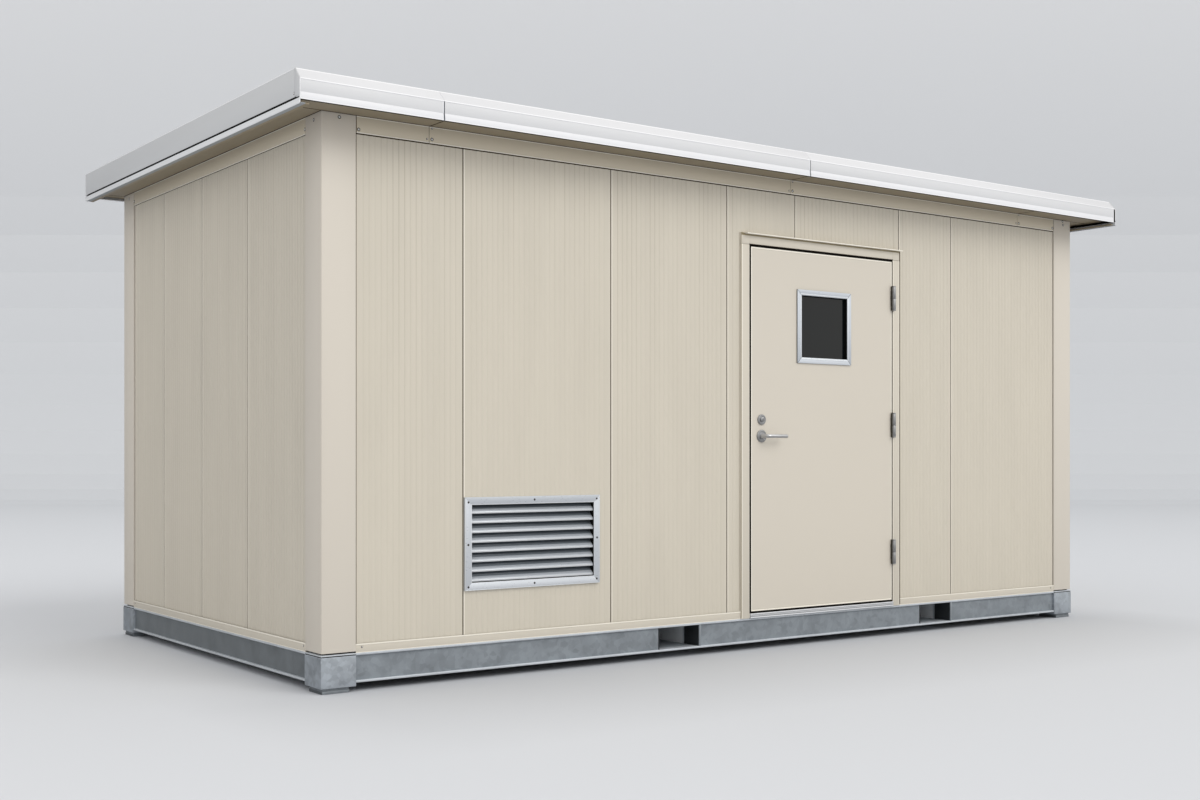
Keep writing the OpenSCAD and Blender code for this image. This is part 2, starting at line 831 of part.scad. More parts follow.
module door_leaf() color(paint) wall_frame()
    difference() {
        block([leaf_x0, leaf_y0, leaf_z0], [leaf_x1, leaf_y1, leaf_z1]);
        vision_cut(vision_bar - sleeve_t, leaf_y0 - cut, leaf_y1 + cut);
        translate([lever_x, leaf_y0 - cut, lever_axis_z]) rotate([-90, 0, 0])
            cylinder(r = bar_r + spindle_gap, h = leaf_t + 2 * cut);
        translate([lever_x, leaf_y0 - cut, lock_z]) rotate([-90, 0, 0])
            cylinder(r = cylinder_r + cylinder_gap, h = leaf_t + 2 * cut);
    }

// Box inside the vision panel's outline, set in from it by a margin.
module vision_cut(margin, y0, y1) {
    half_w = vision_w / 2 - margin;
    half_h = vision_h / 2 - margin;
    z = leaf_z0 + vision_z;
    block([leaf_mid - half_w, y0, z - half_h], [leaf_mid + half_w, y1, z + half_h]);
}

module vision_frames() color(aluminium) wall_frame() {
    glass_y0 = (leaf_y0 + leaf_y1 - glass_t) / 2;
    glass_y1 = glass_y0 + glass_t;
    lip = vision_bar - sleeve_t;
    difference() {
        union() {
            vision_cut(0, leaf_y0 - vision_proud, leaf_y0);
            vision_cut(lip, leaf_y0 - cut, glass_y0);
        }
        vision_cut(vision_bar, leaf_y0 - vision_proud - cut, glass_y0 + cut);
    }
    difference() {
        union() {
            vision_cut(0, leaf_y1, leaf_y1 + vision_proud);
            vision_cut(lip, glass_y1, leaf_y1 + cut);
        }
        vision_cut(vision_bar, glass_y1 - cut, leaf_y1 + vision_proud + cut);
    }
}

module vision_glass() color([0.2, 0.22, 0.23]) wall_frame() {
    glass_y0 = (leaf_y0 + leaf_y1 - glass_t) / 2;
    vision_cut(vision_bar - sleeve_t, glass_y0, glass_y0 + glass_t);
}

// Round rose on one face of the leaf, with the given radius and bore.
module rose(y, z, outer, bore) {
    translate([lever_x, y, z]) rotate([-90, 0, 0]) difference() {
        cylinder(r = outer, h = rose_t);
        translate([0, 0, -cut]) cylinder(r = bore, h = rose_t + 2 * cut);
    }
}

module lock_roses() color(stainless) wall_frame() {
    for (y = [leaf_y0 - rose_t, leaf_y1]) {
        rose(y, lever_axis_z, lever_rose_r, bar_r + run_gap);
        rose(y, lock_z, lock_rose_r, cylinder_r + cylinder_gap);
    }
}

module lock_cylinder() color(stainless) wall_frame()
    translate([lever_x, leaf_y0 - rose_t - cylinder_out, lock_z]) rotate([-90, 0, 0])
        cylinder(r = cylinder_r, h = leaf_t + 2 * rose_t + 2 * cylinder_out);

// Rounded elbow and bar on one side of the leaf; y is the bar's middle.
module lever_arm(y) {
    translate([lever_x, y, lever_axis_z]) {
        sphere(r = bar_r);
        rotate([0, 90, 0]) cylinder(r = bar_r, h = lever_l);
    }
}

module lever_handle() color(stainless) wall_frame() {
    y0 = leaf_y0 - lever_off;
    y1 = leaf_y1 + lever_off;
    translate([lever_x, y0, lever_axis_z]) rotate([-90, 0, 0])
        cylinder(r = bar_r, h = y1 - y0);
    lever_arm(y0);
    lever_arm(y1);
}

corner_feet();
corner_blocks();
skid_flanges();
skid_webs();
floor_joists();
fork_pocket_floors();
fork_pocket_sides();
floor_deck();
post_base_plates();
corner_posts();
front_panel_1();
front_panel_2();
front_panel_3();
front_panel_4();
door_head_panel();
front_panel_5();
front_panel_6();
left_wall_panels();
right_wall_panels();
back_wall_panels();
base_trims();
top_trims();
roof_core();
roof_deck();
roof_ribs();
soffit_sheets();
front_fascia();
back_fascia();
left_fascia();
right_fascia();
side_drip_rails();
door_frame();
door_hood();
door_sill();
louvre_frame();
louvre_blades();
frame_hinges();
door_leaf();
vision_frames();
vision_glass();
leaf_hinges();
lock_roses();
lock_cylinder();
lever_handle();
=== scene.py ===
import math

import bmesh
import bpy
from mathutils import Matrix, Vector


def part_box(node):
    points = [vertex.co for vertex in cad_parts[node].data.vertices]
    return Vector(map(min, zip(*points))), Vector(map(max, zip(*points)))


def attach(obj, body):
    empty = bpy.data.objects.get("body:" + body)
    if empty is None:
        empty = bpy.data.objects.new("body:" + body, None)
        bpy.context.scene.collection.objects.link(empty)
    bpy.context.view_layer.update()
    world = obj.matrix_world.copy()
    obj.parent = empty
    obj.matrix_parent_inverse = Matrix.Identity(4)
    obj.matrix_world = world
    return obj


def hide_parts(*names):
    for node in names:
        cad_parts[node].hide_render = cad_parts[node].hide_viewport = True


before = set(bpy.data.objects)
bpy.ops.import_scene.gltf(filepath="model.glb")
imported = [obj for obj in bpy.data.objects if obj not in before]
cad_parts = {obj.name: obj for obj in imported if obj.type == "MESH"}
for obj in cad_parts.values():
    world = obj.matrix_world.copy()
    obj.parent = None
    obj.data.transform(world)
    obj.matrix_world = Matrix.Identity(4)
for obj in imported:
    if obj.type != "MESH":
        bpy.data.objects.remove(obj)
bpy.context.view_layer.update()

# Shapes are drawn in the wall frame: millimetres, x from the left corner along the front,
# y from the face of the front posts to the back, z up from the ground.
MM = 0.001
# How far one solid of a piece runs into the next
LAP = 1
# Points of a CAD form nearer than this are one point
SAME_POINT = 0.01
WALL_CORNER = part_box("corner_posts")[0]
WALL_ORIGIN = Vector((WALL_CORNER.x, WALL_CORNER.y, 0))


def span(node):
    """Lowest and highest corner of a CAD node in the wall frame."""
    low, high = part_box(node)
    return (low - WALL_ORIGIN) / MM, (high - WALL_ORIGIN) / MM


BODY_L, BODY_W = span("corner_posts")[1].xy
SKID_TOP = span("corner_blocks")[1].z
# Width of the joint between a post and the panel beside it
POST_SLOT = 6


def solids(node):
    """Lowest and highest corner of each separate solid of a CAD node, in the wall frame."""
    part = bmesh.new()
    part.from_mesh(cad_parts[node].data)
    bmesh.ops.remove_doubles(part, verts=part.verts, dist=SAME_POINT * MM)
    found, seen = [], set()
    for vert in part.verts:
        if vert in seen:
            continue
        island, queue = [], [vert]
        seen.add(vert)
        while queue:
            here = queue.pop()
            island.append((here.co - WALL_ORIGIN) / MM)
            for link in here.link_edges:
                other = link.other_vert(here)
                if other not in seen:
                    seen.add(other)
                    queue.append(other)
        low = Vector(min(point[axis] for point in island) for axis in range(3))
        high = Vector(max(point[axis] for point in island) for axis in range(3))
        found.append((low, high))
    part.free()
    return sorted(found, key=lambda ends: tuple(ends[0]))


# ---------------------------------------------------------------- materials


def shade(red, green, blue):
    """Colour as it should look, from 0 to 255, turned into scene values."""
    def linear(part):
        """Scene value of one part of the colour."""
        part = part / 255
        return part / 12.92 if part <= 0.04045 else ((part + 0.055) / 1.055) ** 2.4
    return (linear(red), linear(green), linear(blue), 1)


def fill(tree, node, values):
    """Sets or links a node's inputs."""
    for name, value in values.items():
        socket = node.inputs[name]
        if isinstance(value, bpy.types.NodeSocket):
            tree.links.new(value, socket)
        else:
            socket.default_value = value
    return node


def add(tree, kind, values=None, **settings):
    """A new node with its settings and inputs."""
    node = tree.nodes.new(kind)
    for name, value in settings.items():
        setattr(node, name, value)
    return fill(tree, node, values or {})


def calc(tree, operation, *values):
    """Result of a sum on up to three values."""
    return add(tree, "ShaderNodeMath", dict(enumerate(values)), operation=operation).outputs[0]


def blend(tree, amount, first, second):
    """Mix of two colours."""
    node = add(tree, "ShaderNodeMix", data_type="RGBA")
    return fill(tree, node, {"Factor": amount, 6: first, 7: second}).outputs[2]


def spread(tree, value, low, high, to_low, to_high):
    """Value carried from one range to another, and kept inside it."""
    return add(tree, "ShaderNodeMapRange", {
        "Value": value, "From Min": low, "From Max": high,
        "To Min": to_low, "To Max": to_high}).outputs[0]


def scaled(tree, colour, level):
    """Colour made lighter or darker by a level."""
    return add(tree, "ShaderNodeVectorMath", {0: colour, "Scale": level},
               operation="SCALE").outputs[0]


def between(tree, amount, first, second):
    """Mix of two values."""
    return add(tree, "ShaderNodeMix", {0: amount, 2: first, 3: second}, data_type="FLOAT").outputs[0]


def parted(tree, vector):
    """The three parts of a vector, by name."""
    return add(tree, "ShaderNodeSeparateXYZ", {0: vector}).outputs


def carried(tree, name):
    """Value that the sheet's points carry under a name."""
    return add(tree, "ShaderNodeAttribute", attribute_name=name).outputs["Fac"]


def place(tree):
    """Position on the piece, in metres."""
    return add(tree, "ShaderNodeTexCoord").outputs["Object"]


def noise(tree, vector, scale, detail):
    """Cloudy value between 0 and 1."""
    return add(tree, "ShaderNodeTexNoise", {
        "Vector": vector, "Scale": scale, "Detail": detail}).outputs["Fac"]


def group(name, inputs, outputs):
    """Empty shader group with named inputs and outputs, and its two end nodes."""
    tree = bpy.data.node_groups.new(name, "ShaderNodeTree")
    for label, kind, start in inputs:
        socket = tree.interface.new_socket(label, in_out="INPUT", socket_type=kind)
        socket.default_value = start
    for label, kind in outputs:
        tree.interface.new_socket(label, in_out="OUTPUT", socket_type=kind)
    return tree, tree.nodes.new("NodeGroupInput").outputs, tree.nodes.new("NodeGroupOutput")


# Coated sheets: dust, heights in metres between which it fades, roughness below and in the gloss
DUST = 0.03
DUST_FADE = (0.15, 0.7)
COAT_ROUGH = (0.42, 0.52)
COAT_GLOSS_ROUGH = 0.4
# Wall sheets: painted shade in the grooves, strongest high up under the eaves: heights in metres over
# which the groove lines come up, how late they do, and what is left of them at the foot
GROOVE_RISE = (0.3, 2.6)
GROOVE_LATE = 2.2
GROOVE_LEAST = 0.2
# Wall sheets: slow changes of tone along the wall, hardly changing upwards
TONE_UPWARDS = 0.12
TONE_RANGE = (0.975, 1.02)
# Zinc: how far the crystals' edges bend, what crystals and clouds add to the tone, roughness
CRYSTAL_BEND = 0.05
CRYSTAL_SHARE = 0.4
SWIRL_SHARE = 1.2
ZINC_ROUGH = (0.42, 0.6)
# Brushed metal: how far its lines change the roughness
HAIRLINE_ROUGH = 0.06


def coating_group():
    """Coated sheet: faint cloudiness, dust towards the foot and a fine uneven surface."""
    tree, given, out = group(
        "coating",
        [("Colour", "NodeSocketColor", (1, 1, 1, 1)), ("Cloudiness", "NodeSocketFloat", 0.03),
         ("Dust", "NodeSocketFloat", 0.05)],
        [("Colour", "NodeSocketColor"), ("Roughness", "NodeSocketFloat"),
         ("Height", "NodeSocketFloat")])
    clouds = noise(tree, place(tree), scale=1.3, detail=4)
    fine = noise(tree, place(tree), scale=420, detail=2)
    low = spread(tree, parted(tree, place(tree))["Z"], *DUST_FADE, 1, 0)
    value = calc(tree, "MULTIPLY_ADD", calc(tree, "SUBTRACT", clouds, 0.5), given["Cloudiness"], 1)
    dusty = calc(tree, "MULTIPLY", calc(tree, "MULTIPLY", low, clouds), given["Dust"])
    level = calc(tree, "SUBTRACT", value, dusty)
    fill(tree, out, {"Colour": scaled(tree, given["Colour"], level), "Height": fine,
                     "Roughness": spread(tree, clouds, 0.2, 0.8, *COAT_ROUGH)})
    return tree


def ribbing_group():
    """Fine upright grooves with painted shade in them, joints and painted edge highlights of a wall
    sheet, from its stored values.
    """
    tree, given, out = group(
        "ribbing",
        [("Colour", "NodeSocketColor", (1, 1, 1, 1)),
         ("Groove Shade Colour", "NodeSocketColor", (0, 0, 0, 1)),
         ("Joint Colour", "NodeSocketColor", (0, 0, 0, 1)),
         ("Edge Highlight Colour", "NodeSocketColor", (1, 1, 1, 1)),
         ("Line Strength", "NodeSocketFloat", 0.3)],
        [("Colour", "NodeSocketColor")])
    where = parted(tree, place(tree))
    # Painted shade in the grooves, strongest high up under the eaves and fading towards the foot
    rise = calc(tree, "POWER", spread(tree, where["Z"], *GROOVE_RISE, 0, 1), GROOVE_LATE)
    fade = calc(tree, "MULTIPLY_ADD", rise, 1 - GROOVE_LEAST, GROOVE_LEAST)
    line = calc(tree, "MULTIPLY", calc(tree, "MULTIPLY", carried(tree, "groove_shade"), fade),
                given["Line Strength"])
    bands = add(tree, "ShaderNodeCombineXYZ", {
        "X": calc(tree, "ADD", where["X"], where["Y"]),
        "Y": calc(tree, "MULTIPLY", where["Z"], TONE_UPWARDS)})
    wide = noise(tree, bands.outputs[0], scale=9, detail=3)
    toned = scaled(tree, given["Colour"], spread(tree, wide, 0.3, 0.7, *TONE_RANGE))
    lined = blend(tree, line, toned, given["Groove Shade Colour"])
    # Painted highlight on the edge strip at the left of each panel
    hemmed = blend(tree, carried(tree, "edge_highlight"), lined, given["Edge Highlight Colour"])
    sealed = blend(tree, carried(tree, "joint"), hemmed, given["Joint Colour"])
    fill(tree, out, {"Colour": sealed})
    return tree


def spangle_group():
    """Zinc crystals: patches of slightly different grey, each with its own gloss."""
    tree, given, out = group(
        "spangle",
        [("Colour", "NodeSocketColor", (1, 1, 1, 1)), ("Contrast", "NodeSocketFloat", 0.1),
         ("Size", "NodeSocketFloat", 45.0)],
        [("Colour", "NodeSocketColor"), ("Roughness", "NodeSocketFloat"),
         ("Height", "NodeSocketFloat")])
    where = place(tree)
    bend = add(tree, "ShaderNodeTexNoise", {"Vector": where, "Scale": 14, "Detail": 3})
    moved = add(tree, "ShaderNodeVectorMath", {
        0: bend.outputs["Color"], 1: (CRYSTAL_BEND,) * 3, 2: where}, operation="MULTIPLY_ADD")
    cells = add(tree, "ShaderNodeTexVoronoi", {
        "Vector": moved.outputs[0], "Scale": given["Size"], "Randomness": 1})
    crystal = add(tree, "ShaderNodeSeparateColor", {0: cells.outputs["Color"]}).outputs[0]
    swirl = noise(tree, moved.outputs[0], scale=7, detail=5)
    mixed = calc(tree, "ADD", calc(tree, "MULTIPLY", crystal, CRYSTAL_SHARE),
                 calc(tree, "MULTIPLY", swirl, SWIRL_SHARE))
    middle = (CRYSTAL_SHARE + SWIRL_SHARE) / 2
    level = calc(tree, "MULTIPLY_ADD", calc(tree, "SUBTRACT", mixed, middle), given["Contrast"], 1)
    fill(tree, out, {"Colour": scaled(tree, given["Colour"], level), "Height": crystal,
                     "Roughness": spread(tree, crystal, 0, 1, *ZINC_ROUGH)})
    return tree


def brushing_group():
    """Fine lines of brushed or drawn metal, run along the stretched direction."""
    tree, given, out = group(
        "brushing",
        [("Colour", "NodeSocketColor", (1, 1, 1, 1)), ("Stretch", "NodeSocketVector", (1, 1, 1)),
         ("Contrast", "NodeSocketFloat", 0.06), ("Roughness", "NodeSocketFloat", 0.33)],
        [("Colour", "NodeSocketColor"), ("Roughness", "NodeSocketFloat")])
    where = add(tree, "ShaderNodeVectorMath", {0: place(tree), 1: given["Stretch"]},
                operation="MULTIPLY").outputs[0]
    lines = noise(tree, where, scale=300, detail=3)
    level = calc(tree, "MULTIPLY_ADD", calc(tree, "SUBTRACT", lines, 0.5), given["Contrast"], 1)
    change = spread(tree, lines, 0.3, 0.7, -HAIRLINE_ROUGH, HAIRLINE_ROUGH)
    fill(tree, out, {"Colour": scaled(tree, given["Colour"], level),
                     "Roughness": calc(tree, "ADD", given["Roughness"], change)})
    return tree


COATING = coating_group()
RIBBING = ribbing_group()
SPANGLE = spangle_group()
BRUSHING = brushing_group()


def new_material(name):
    """Material with its node tree and the Principled node in it."""
    material = bpy.data.materials.new(name)
    material.use_nodes = True
    tree = material.node_tree
    return material, tree, tree.nodes["Principled BSDF"]


def use(tree, effect, values):
    """A shared effect inside a material."""
    return add(tree, "ShaderNodeGroup", values, node_tree=effect).outputs


def bumped(tree, height, strength, distance):
    """Surface direction disturbed by a height."""
    return add(tree, "ShaderNodeBump", {
        "Height": height, "Strength": strength, "Distance": distance}).outputs[0]


def coat(tree, finish, colour, cloudiness, gloss):
    """Factory coating over a colour, with a little dust towards the foot."""
    layer = use(tree, COATING, {"Colour": colour, "Cloudiness": cloudiness, "Dust": DUST})
    fill(tree, finish, {
        "Base Color": layer["Colour"], "Roughness": layer["Roughness"], "Coat Weight": gloss,
        "Coat Roughness": COAT_GLOSS_ROUGH,
        "Normal": bumped(tree, layer["Height"], strength=0.05, distance=0.0004)})


def painted(name, colour, cloudiness=0.02):
    """Coated sheet metal."""
    material, tree, finish = new_material(name)
    coat(tree, finish, colour, cloudiness, 0.1)
    return material


def ribbed_sheet(name, colour, groove_shade, joint, edge_highlight, strength):
    """Coated wall sheet with fine grooves, painted shade in them and a painted highlight on its edge
    strips.
    """
    material, tree, finish = new_material(name)
    ribs = use(tree, RIBBING, {"Colour": colour, "Groove Shade Colour": groove_shade, "Joint Colour": joint,
                               "Edge Highlight Colour": edge_highlight, "Line Strength": strength})
    coat(tree, finish, ribs["Colour"], 0.02, 0.05)
    return material


def galvanised(name, colour, contrast, size, metal=0.35):
    """Hot-dip galvanised steel."""
    material, tree, finish = new_material(name)
    zinc = use(tree, SPANGLE, {"Colour": colour, "Contrast": contrast, "Size": size})
    fill(tree, finish, {
        "Base Color": zinc["Colour"], "Roughness": zinc["Roughness"], "Metallic": metal,
        "Normal": bumped(tree, zinc["Height"], strength=0.08, distance=0.0005)})
    return material


def brushed(name, colour, stretch, contrast, metal, rough=0.33):
    """Brushed stainless steel or drawn aluminium."""
    material, tree, finish = new_material(name)
    metal_lines = use(tree, BRUSHING, {"Colour": colour, "Stretch": stretch, "Contrast": contrast,
                                       "Roughness": rough})
    fill(tree, finish, {"Base Color": metal_lines["Colour"],
                        "Roughness": metal_lines["Roughness"], "Metallic": metal})
    return material


def uneven(name, colour, least, scale, detail, values):
    """Plain material whose colour changes between itself and a darker one."""
    material, tree, finish = new_material(name)
    darker = tuple(least * part for part in colour[:3]) + (1,)
    clouds = noise(tree, place(tree), scale, detail)
    fill(tree, finish, {"Base Color": blend(tree, clouds, colour, darker), **values})
    return material


def dull(name, colour):
    """Rubber, sealant or deep shadow gap, slightly uneven."""
    return uneven(name, colour, 0.7, 60, 3, {"Roughness": 0.7, "Specular IOR Level": 0.15})


def glazing(name, colour):
    """Window glass drawn opaque, its dark colour standing for the shaded inside seen through it;
    faintly uneven in tone.
    """
    return uneven(name, colour, 0.8, 3, 2, {"Roughness": 0.06, "Specular IOR Level": 0.35})


# Directions in which brushed and drawn metal is streaked
ALONG_X = (0.1, 1, 1)
LOOSELY_X = (0.2, 1, 1)
ALONG_Z = (1, 1, 0.1)
ALL_WAYS = (1, 1, 1)

# Coated sheets: colour and cloudiness
# Wall sheet: its colour, painted shade in its grooves, its dark joints and a painted highlight on its
# edge strips
WALL = ribbed_sheet("wall_sheet", shade(206, 199, 185), groove_shade=shade(112, 92, 62),
                    joint=shade(66, 44, 18), edge_highlight=shade(232, 226, 213), strength=0.3)
PAINT = painted("beige_paint", shade(208, 201, 188))
# Beige paint a little lighter on the posts: painted light, standing in for the brighter light on them
POST_LIT = painted("post_lit_paint", shade(211, 204, 193))
# Beige paint darker and warmer for the top trims: painted shade under the eaves
EAVES_SHADED = painted("eaves_shaded_paint", shade(208, 198, 178))
DOOR_PAINT = painted("door_paint", shade(210, 203, 191))
# Beige paint much lighter: painted highlight on folded edges, the leaf's rim and the door hood
HEM_HIGHLIGHT = painted("hem_highlight_paint", shade(240, 235, 223))
LEAF_LINE = painted("leaf_line", shade(194, 186, 172))
# Beige soffit paint darkened: painted shade under the roof, also on the roof core and the drip rails'
# linings
SOFFIT_SHADED = painted("soffit_shaded_paint", shade(142, 130, 108), cloudiness=0.1)
ROOF_PAINT = painted("roof_paint", shade(215, 216, 219), cloudiness=0.015)
# Copies of the roof paint set for how light falls: the tilted band and flashing lighter as painted
# light, folded edges as painted highlight, side plates darker as painted shade, drip rail faces
# lighter as painted light and their undersides grey as painted shade
ROOF_BAND_LIT = painted("roof_band_lit", shade(229, 230, 234), cloudiness=0.015)
ROOF_SLOPE_LIT = painted("roof_slope_lit", shade(216, 217, 221), cloudiness=0.015)
ROOF_HEM_HIGHLIGHT = painted("roof_hem_highlight", shade(242, 243, 246), cloudiness=0.01)
ROOF_SIDE_SHADED = painted("roof_side_shaded", shade(204, 206, 209), cloudiness=0.015)
ROOF_RAIL_LIT = painted("roof_rail_lit", shade(229, 231, 234), cloudiness=0.015)
RAIL_UNDER_SHADED = painted("rail_underside_shaded", shade(150, 155, 160), cloudiness=0.03)
# Galvanised steel: colour, contrast of its crystals, how fine they are, metallic share
ZINC = galvanised("zinc_rails", shade(140, 147, 154), 0.5, 40)
# Zinc darkened for the webs of the end rails: painted shade
ZINC_END_SHADE = galvanised("zinc_end_shade", shade(122, 128, 133), 0.4, 40)
# Zinc darkened for the sides of the foot pads: painted shade
ZINC_FOOT_SHADE = galvanised("zinc_foot_shade", shade(96, 101, 106), 0.2, 50)
ZINC_PAD = galvanised("zinc_pads", shade(128, 134, 140), 0.5, 45)
# Zinc made near white and dull for the linings of the fork pockets: painted light inside them
ZINC_LINING_LIT = galvanised("zinc_lit_lining", shade(236, 240, 244), 0.1, 60, 0)
ZINC_PLATE = galvanised("zinc_plates", shade(150, 157, 164), 0.3, 50)
ZINC_BLOCK = galvanised("zinc_blocks", shade(165, 172, 180), 0.6, 45)
# Zinc darkened for the sides of the corner blocks: painted shade
ZINC_BLOCK_SHADE = galvanised("zinc_block_shaded_sides", shade(153, 160, 168), 0.7, 45)
# Zinc lightened: painted highlight on the flanges, the blocks' cap plates and the edges inside the
# fork pockets
ZINC_HIGHLIGHT = galvanised("zinc_edge_highlight", shade(200, 206, 213), 0.2, 60)
# Zinc darkened: painted shade on the lips inside the fork pockets
ZINC_SHADE = galvanised("zinc_shade", shade(52, 56, 59), 0.3, 50)
PLATE = galvanised("floor_steel", shade(120, 124, 128), 0.3, 30)
# Brushed metal: colour, direction, contrast of its lines, metallic share, roughness
ALUMINIUM = brushed("aluminium", shade(206, 212, 220), LOOSELY_X, 0.05, 0.5)
# Aluminium lightened: painted highlight on the vision panel's beads
ALUMINIUM_HIGHLIGHT = brushed("aluminium_bead_highlight", shade(226, 231, 237), LOOSELY_X, 0.05, 0.4)
SILL_METAL = brushed("sill_metal", shade(168, 170, 174), ALONG_X, 0.1, 0.4)
# Sill metal lightened: painted highlight on the edges along its front
SILL_HIGHLIGHT = brushed("sill_edge_highlight", shade(232, 234, 238), ALONG_X, 0.05, 0.2)
LOUVRE_METAL = brushed("louvre_metal", shade(210, 215, 222), LOOSELY_X, 0.04, 0.4)
# Louvre metal lightened: painted highlight on the frame's edges
LOUVRE_HIGHLIGHT = brushed("louvre_edge_highlight", shade(226, 230, 235), LOOSELY_X, 0.04, 0.3)
BLADE_METAL = brushed("blade_metal", shade(186, 192, 200), ALONG_X, 0.04, 0.3)
# Blade metal copies: lighter for the nose as painted light, darker and darkest for the upper end as
# painted shade
BLADE_NOSE_LIT = brushed("blade_nose_lit", shade(196, 200, 205), ALONG_X, 0.04, 0.3)
BLADE_SHADOW = brushed("blade_painted_shadow", shade(84, 91, 98), ALONG_X, 0.04, 0.3)
BLADE_HALF_SHADOW = brushed("blade_half_shadow", shade(116, 123, 131), ALONG_X, 0.04, 0.3)
STEEL = brushed("stainless", shade(168, 169, 171), ALONG_Z, 0.1, 0.9, 0.45)
# Stainless steel made lighter for the lever: painted light, for the brighter highlight on its bar
LEVER_STEEL_LIT = brushed("lever_steel_lit", shade(206, 207, 209), ALONG_X, 0.06, 0.9, 0.45)
SCREW_STEEL = brushed("screw_steel", shade(236, 237, 238), ALL_WAYS, 0.1, 0.3)
DARK_STEEL = brushed("dark_steel", shade(70, 74, 80), ALL_WAYS, 0.1, 0.6)
# Seals, painted shadow in gaps and slots, and glass
SCREW_RING = dull("screw_ring", shade(56, 48, 36))
# Near black: the gaskets and the insect screen, and dark blocks as painted shade in slots, round the
# louvre blades and in the keyway
RUBBER_AND_SHADE = dull("rubber_and_shade_black", shade(18, 17, 16))
# Near black brown: the door's seal, and painted shadow in the gap round the leaf and on its edges
SEAL_AND_GAP_SHADOW = dull("seal_and_gap_shadow", shade(24, 17, 9))
# Near black: painted shadow in the blocks' grooves, on the post base plates and under the front
# fascia
SHADOW_GAP = dull("shadow_gap_dark", shade(34, 30, 26))
# Dark brown: painted shadow under the top trims and in the hinge-side gap, and the joint beside the
# right jamb darkened as its shadow
BROWN_SEAL_AND_SHADOW = dull("brown_seal_and_shadow", shade(64, 44, 16))
# Dark grey: painted shade beside the hinge barrels
HINGE_SHADE = dull("hinge_shade", shade(74, 70, 64))
# Olive: the sealing joint round the door frame, darkened as painted shadow along it and under the
# hood
OLIVE_SEAL_AND_SHADOW = dull("olive_seal_and_shadow", shade(156, 144, 116))
# Dark brown: painted shadow along the walls under the soffit, and the seams between its sheets
SEAM_AND_SHADOW = dull("seam_and_shadow_dark", shade(42, 30, 15))
# Grey: painted shade seen through the splices of the front fascia
SPLICE_SHADE = dull("splice_shade", shade(112, 117, 124))
# Near black glass: painted shade of the unlit inside seen through it
GLASS = glazing("glass_over_shaded_inside", shade(13, 17, 19))

# ---------------------------------------------------------------- shapes

# Edges bent more than the first angle are bevelled, and shown sharp above the second
BEVEL_ANGLE = math.radians(40)
SHARP_ANGLE = math.radians(35)
# Neighbouring faces of a CAD form that bend less than this are one face
SAME_FACE = math.radians(1)


def plain_mesh(thing):
    """Mesh of a piece with its modifiers worked out."""
    graph = bpy.context.evaluated_depsgraph_get()
    return bpy.data.meshes.new_from_object(thing.evaluated_get(graph))


def temporary(mesh):
    """Object that only holds a mesh while it is worked on."""
    thing = bpy.data.objects.new("temporary", mesh)
    bpy.context.scene.collection.objects.link(thing)
    return thing


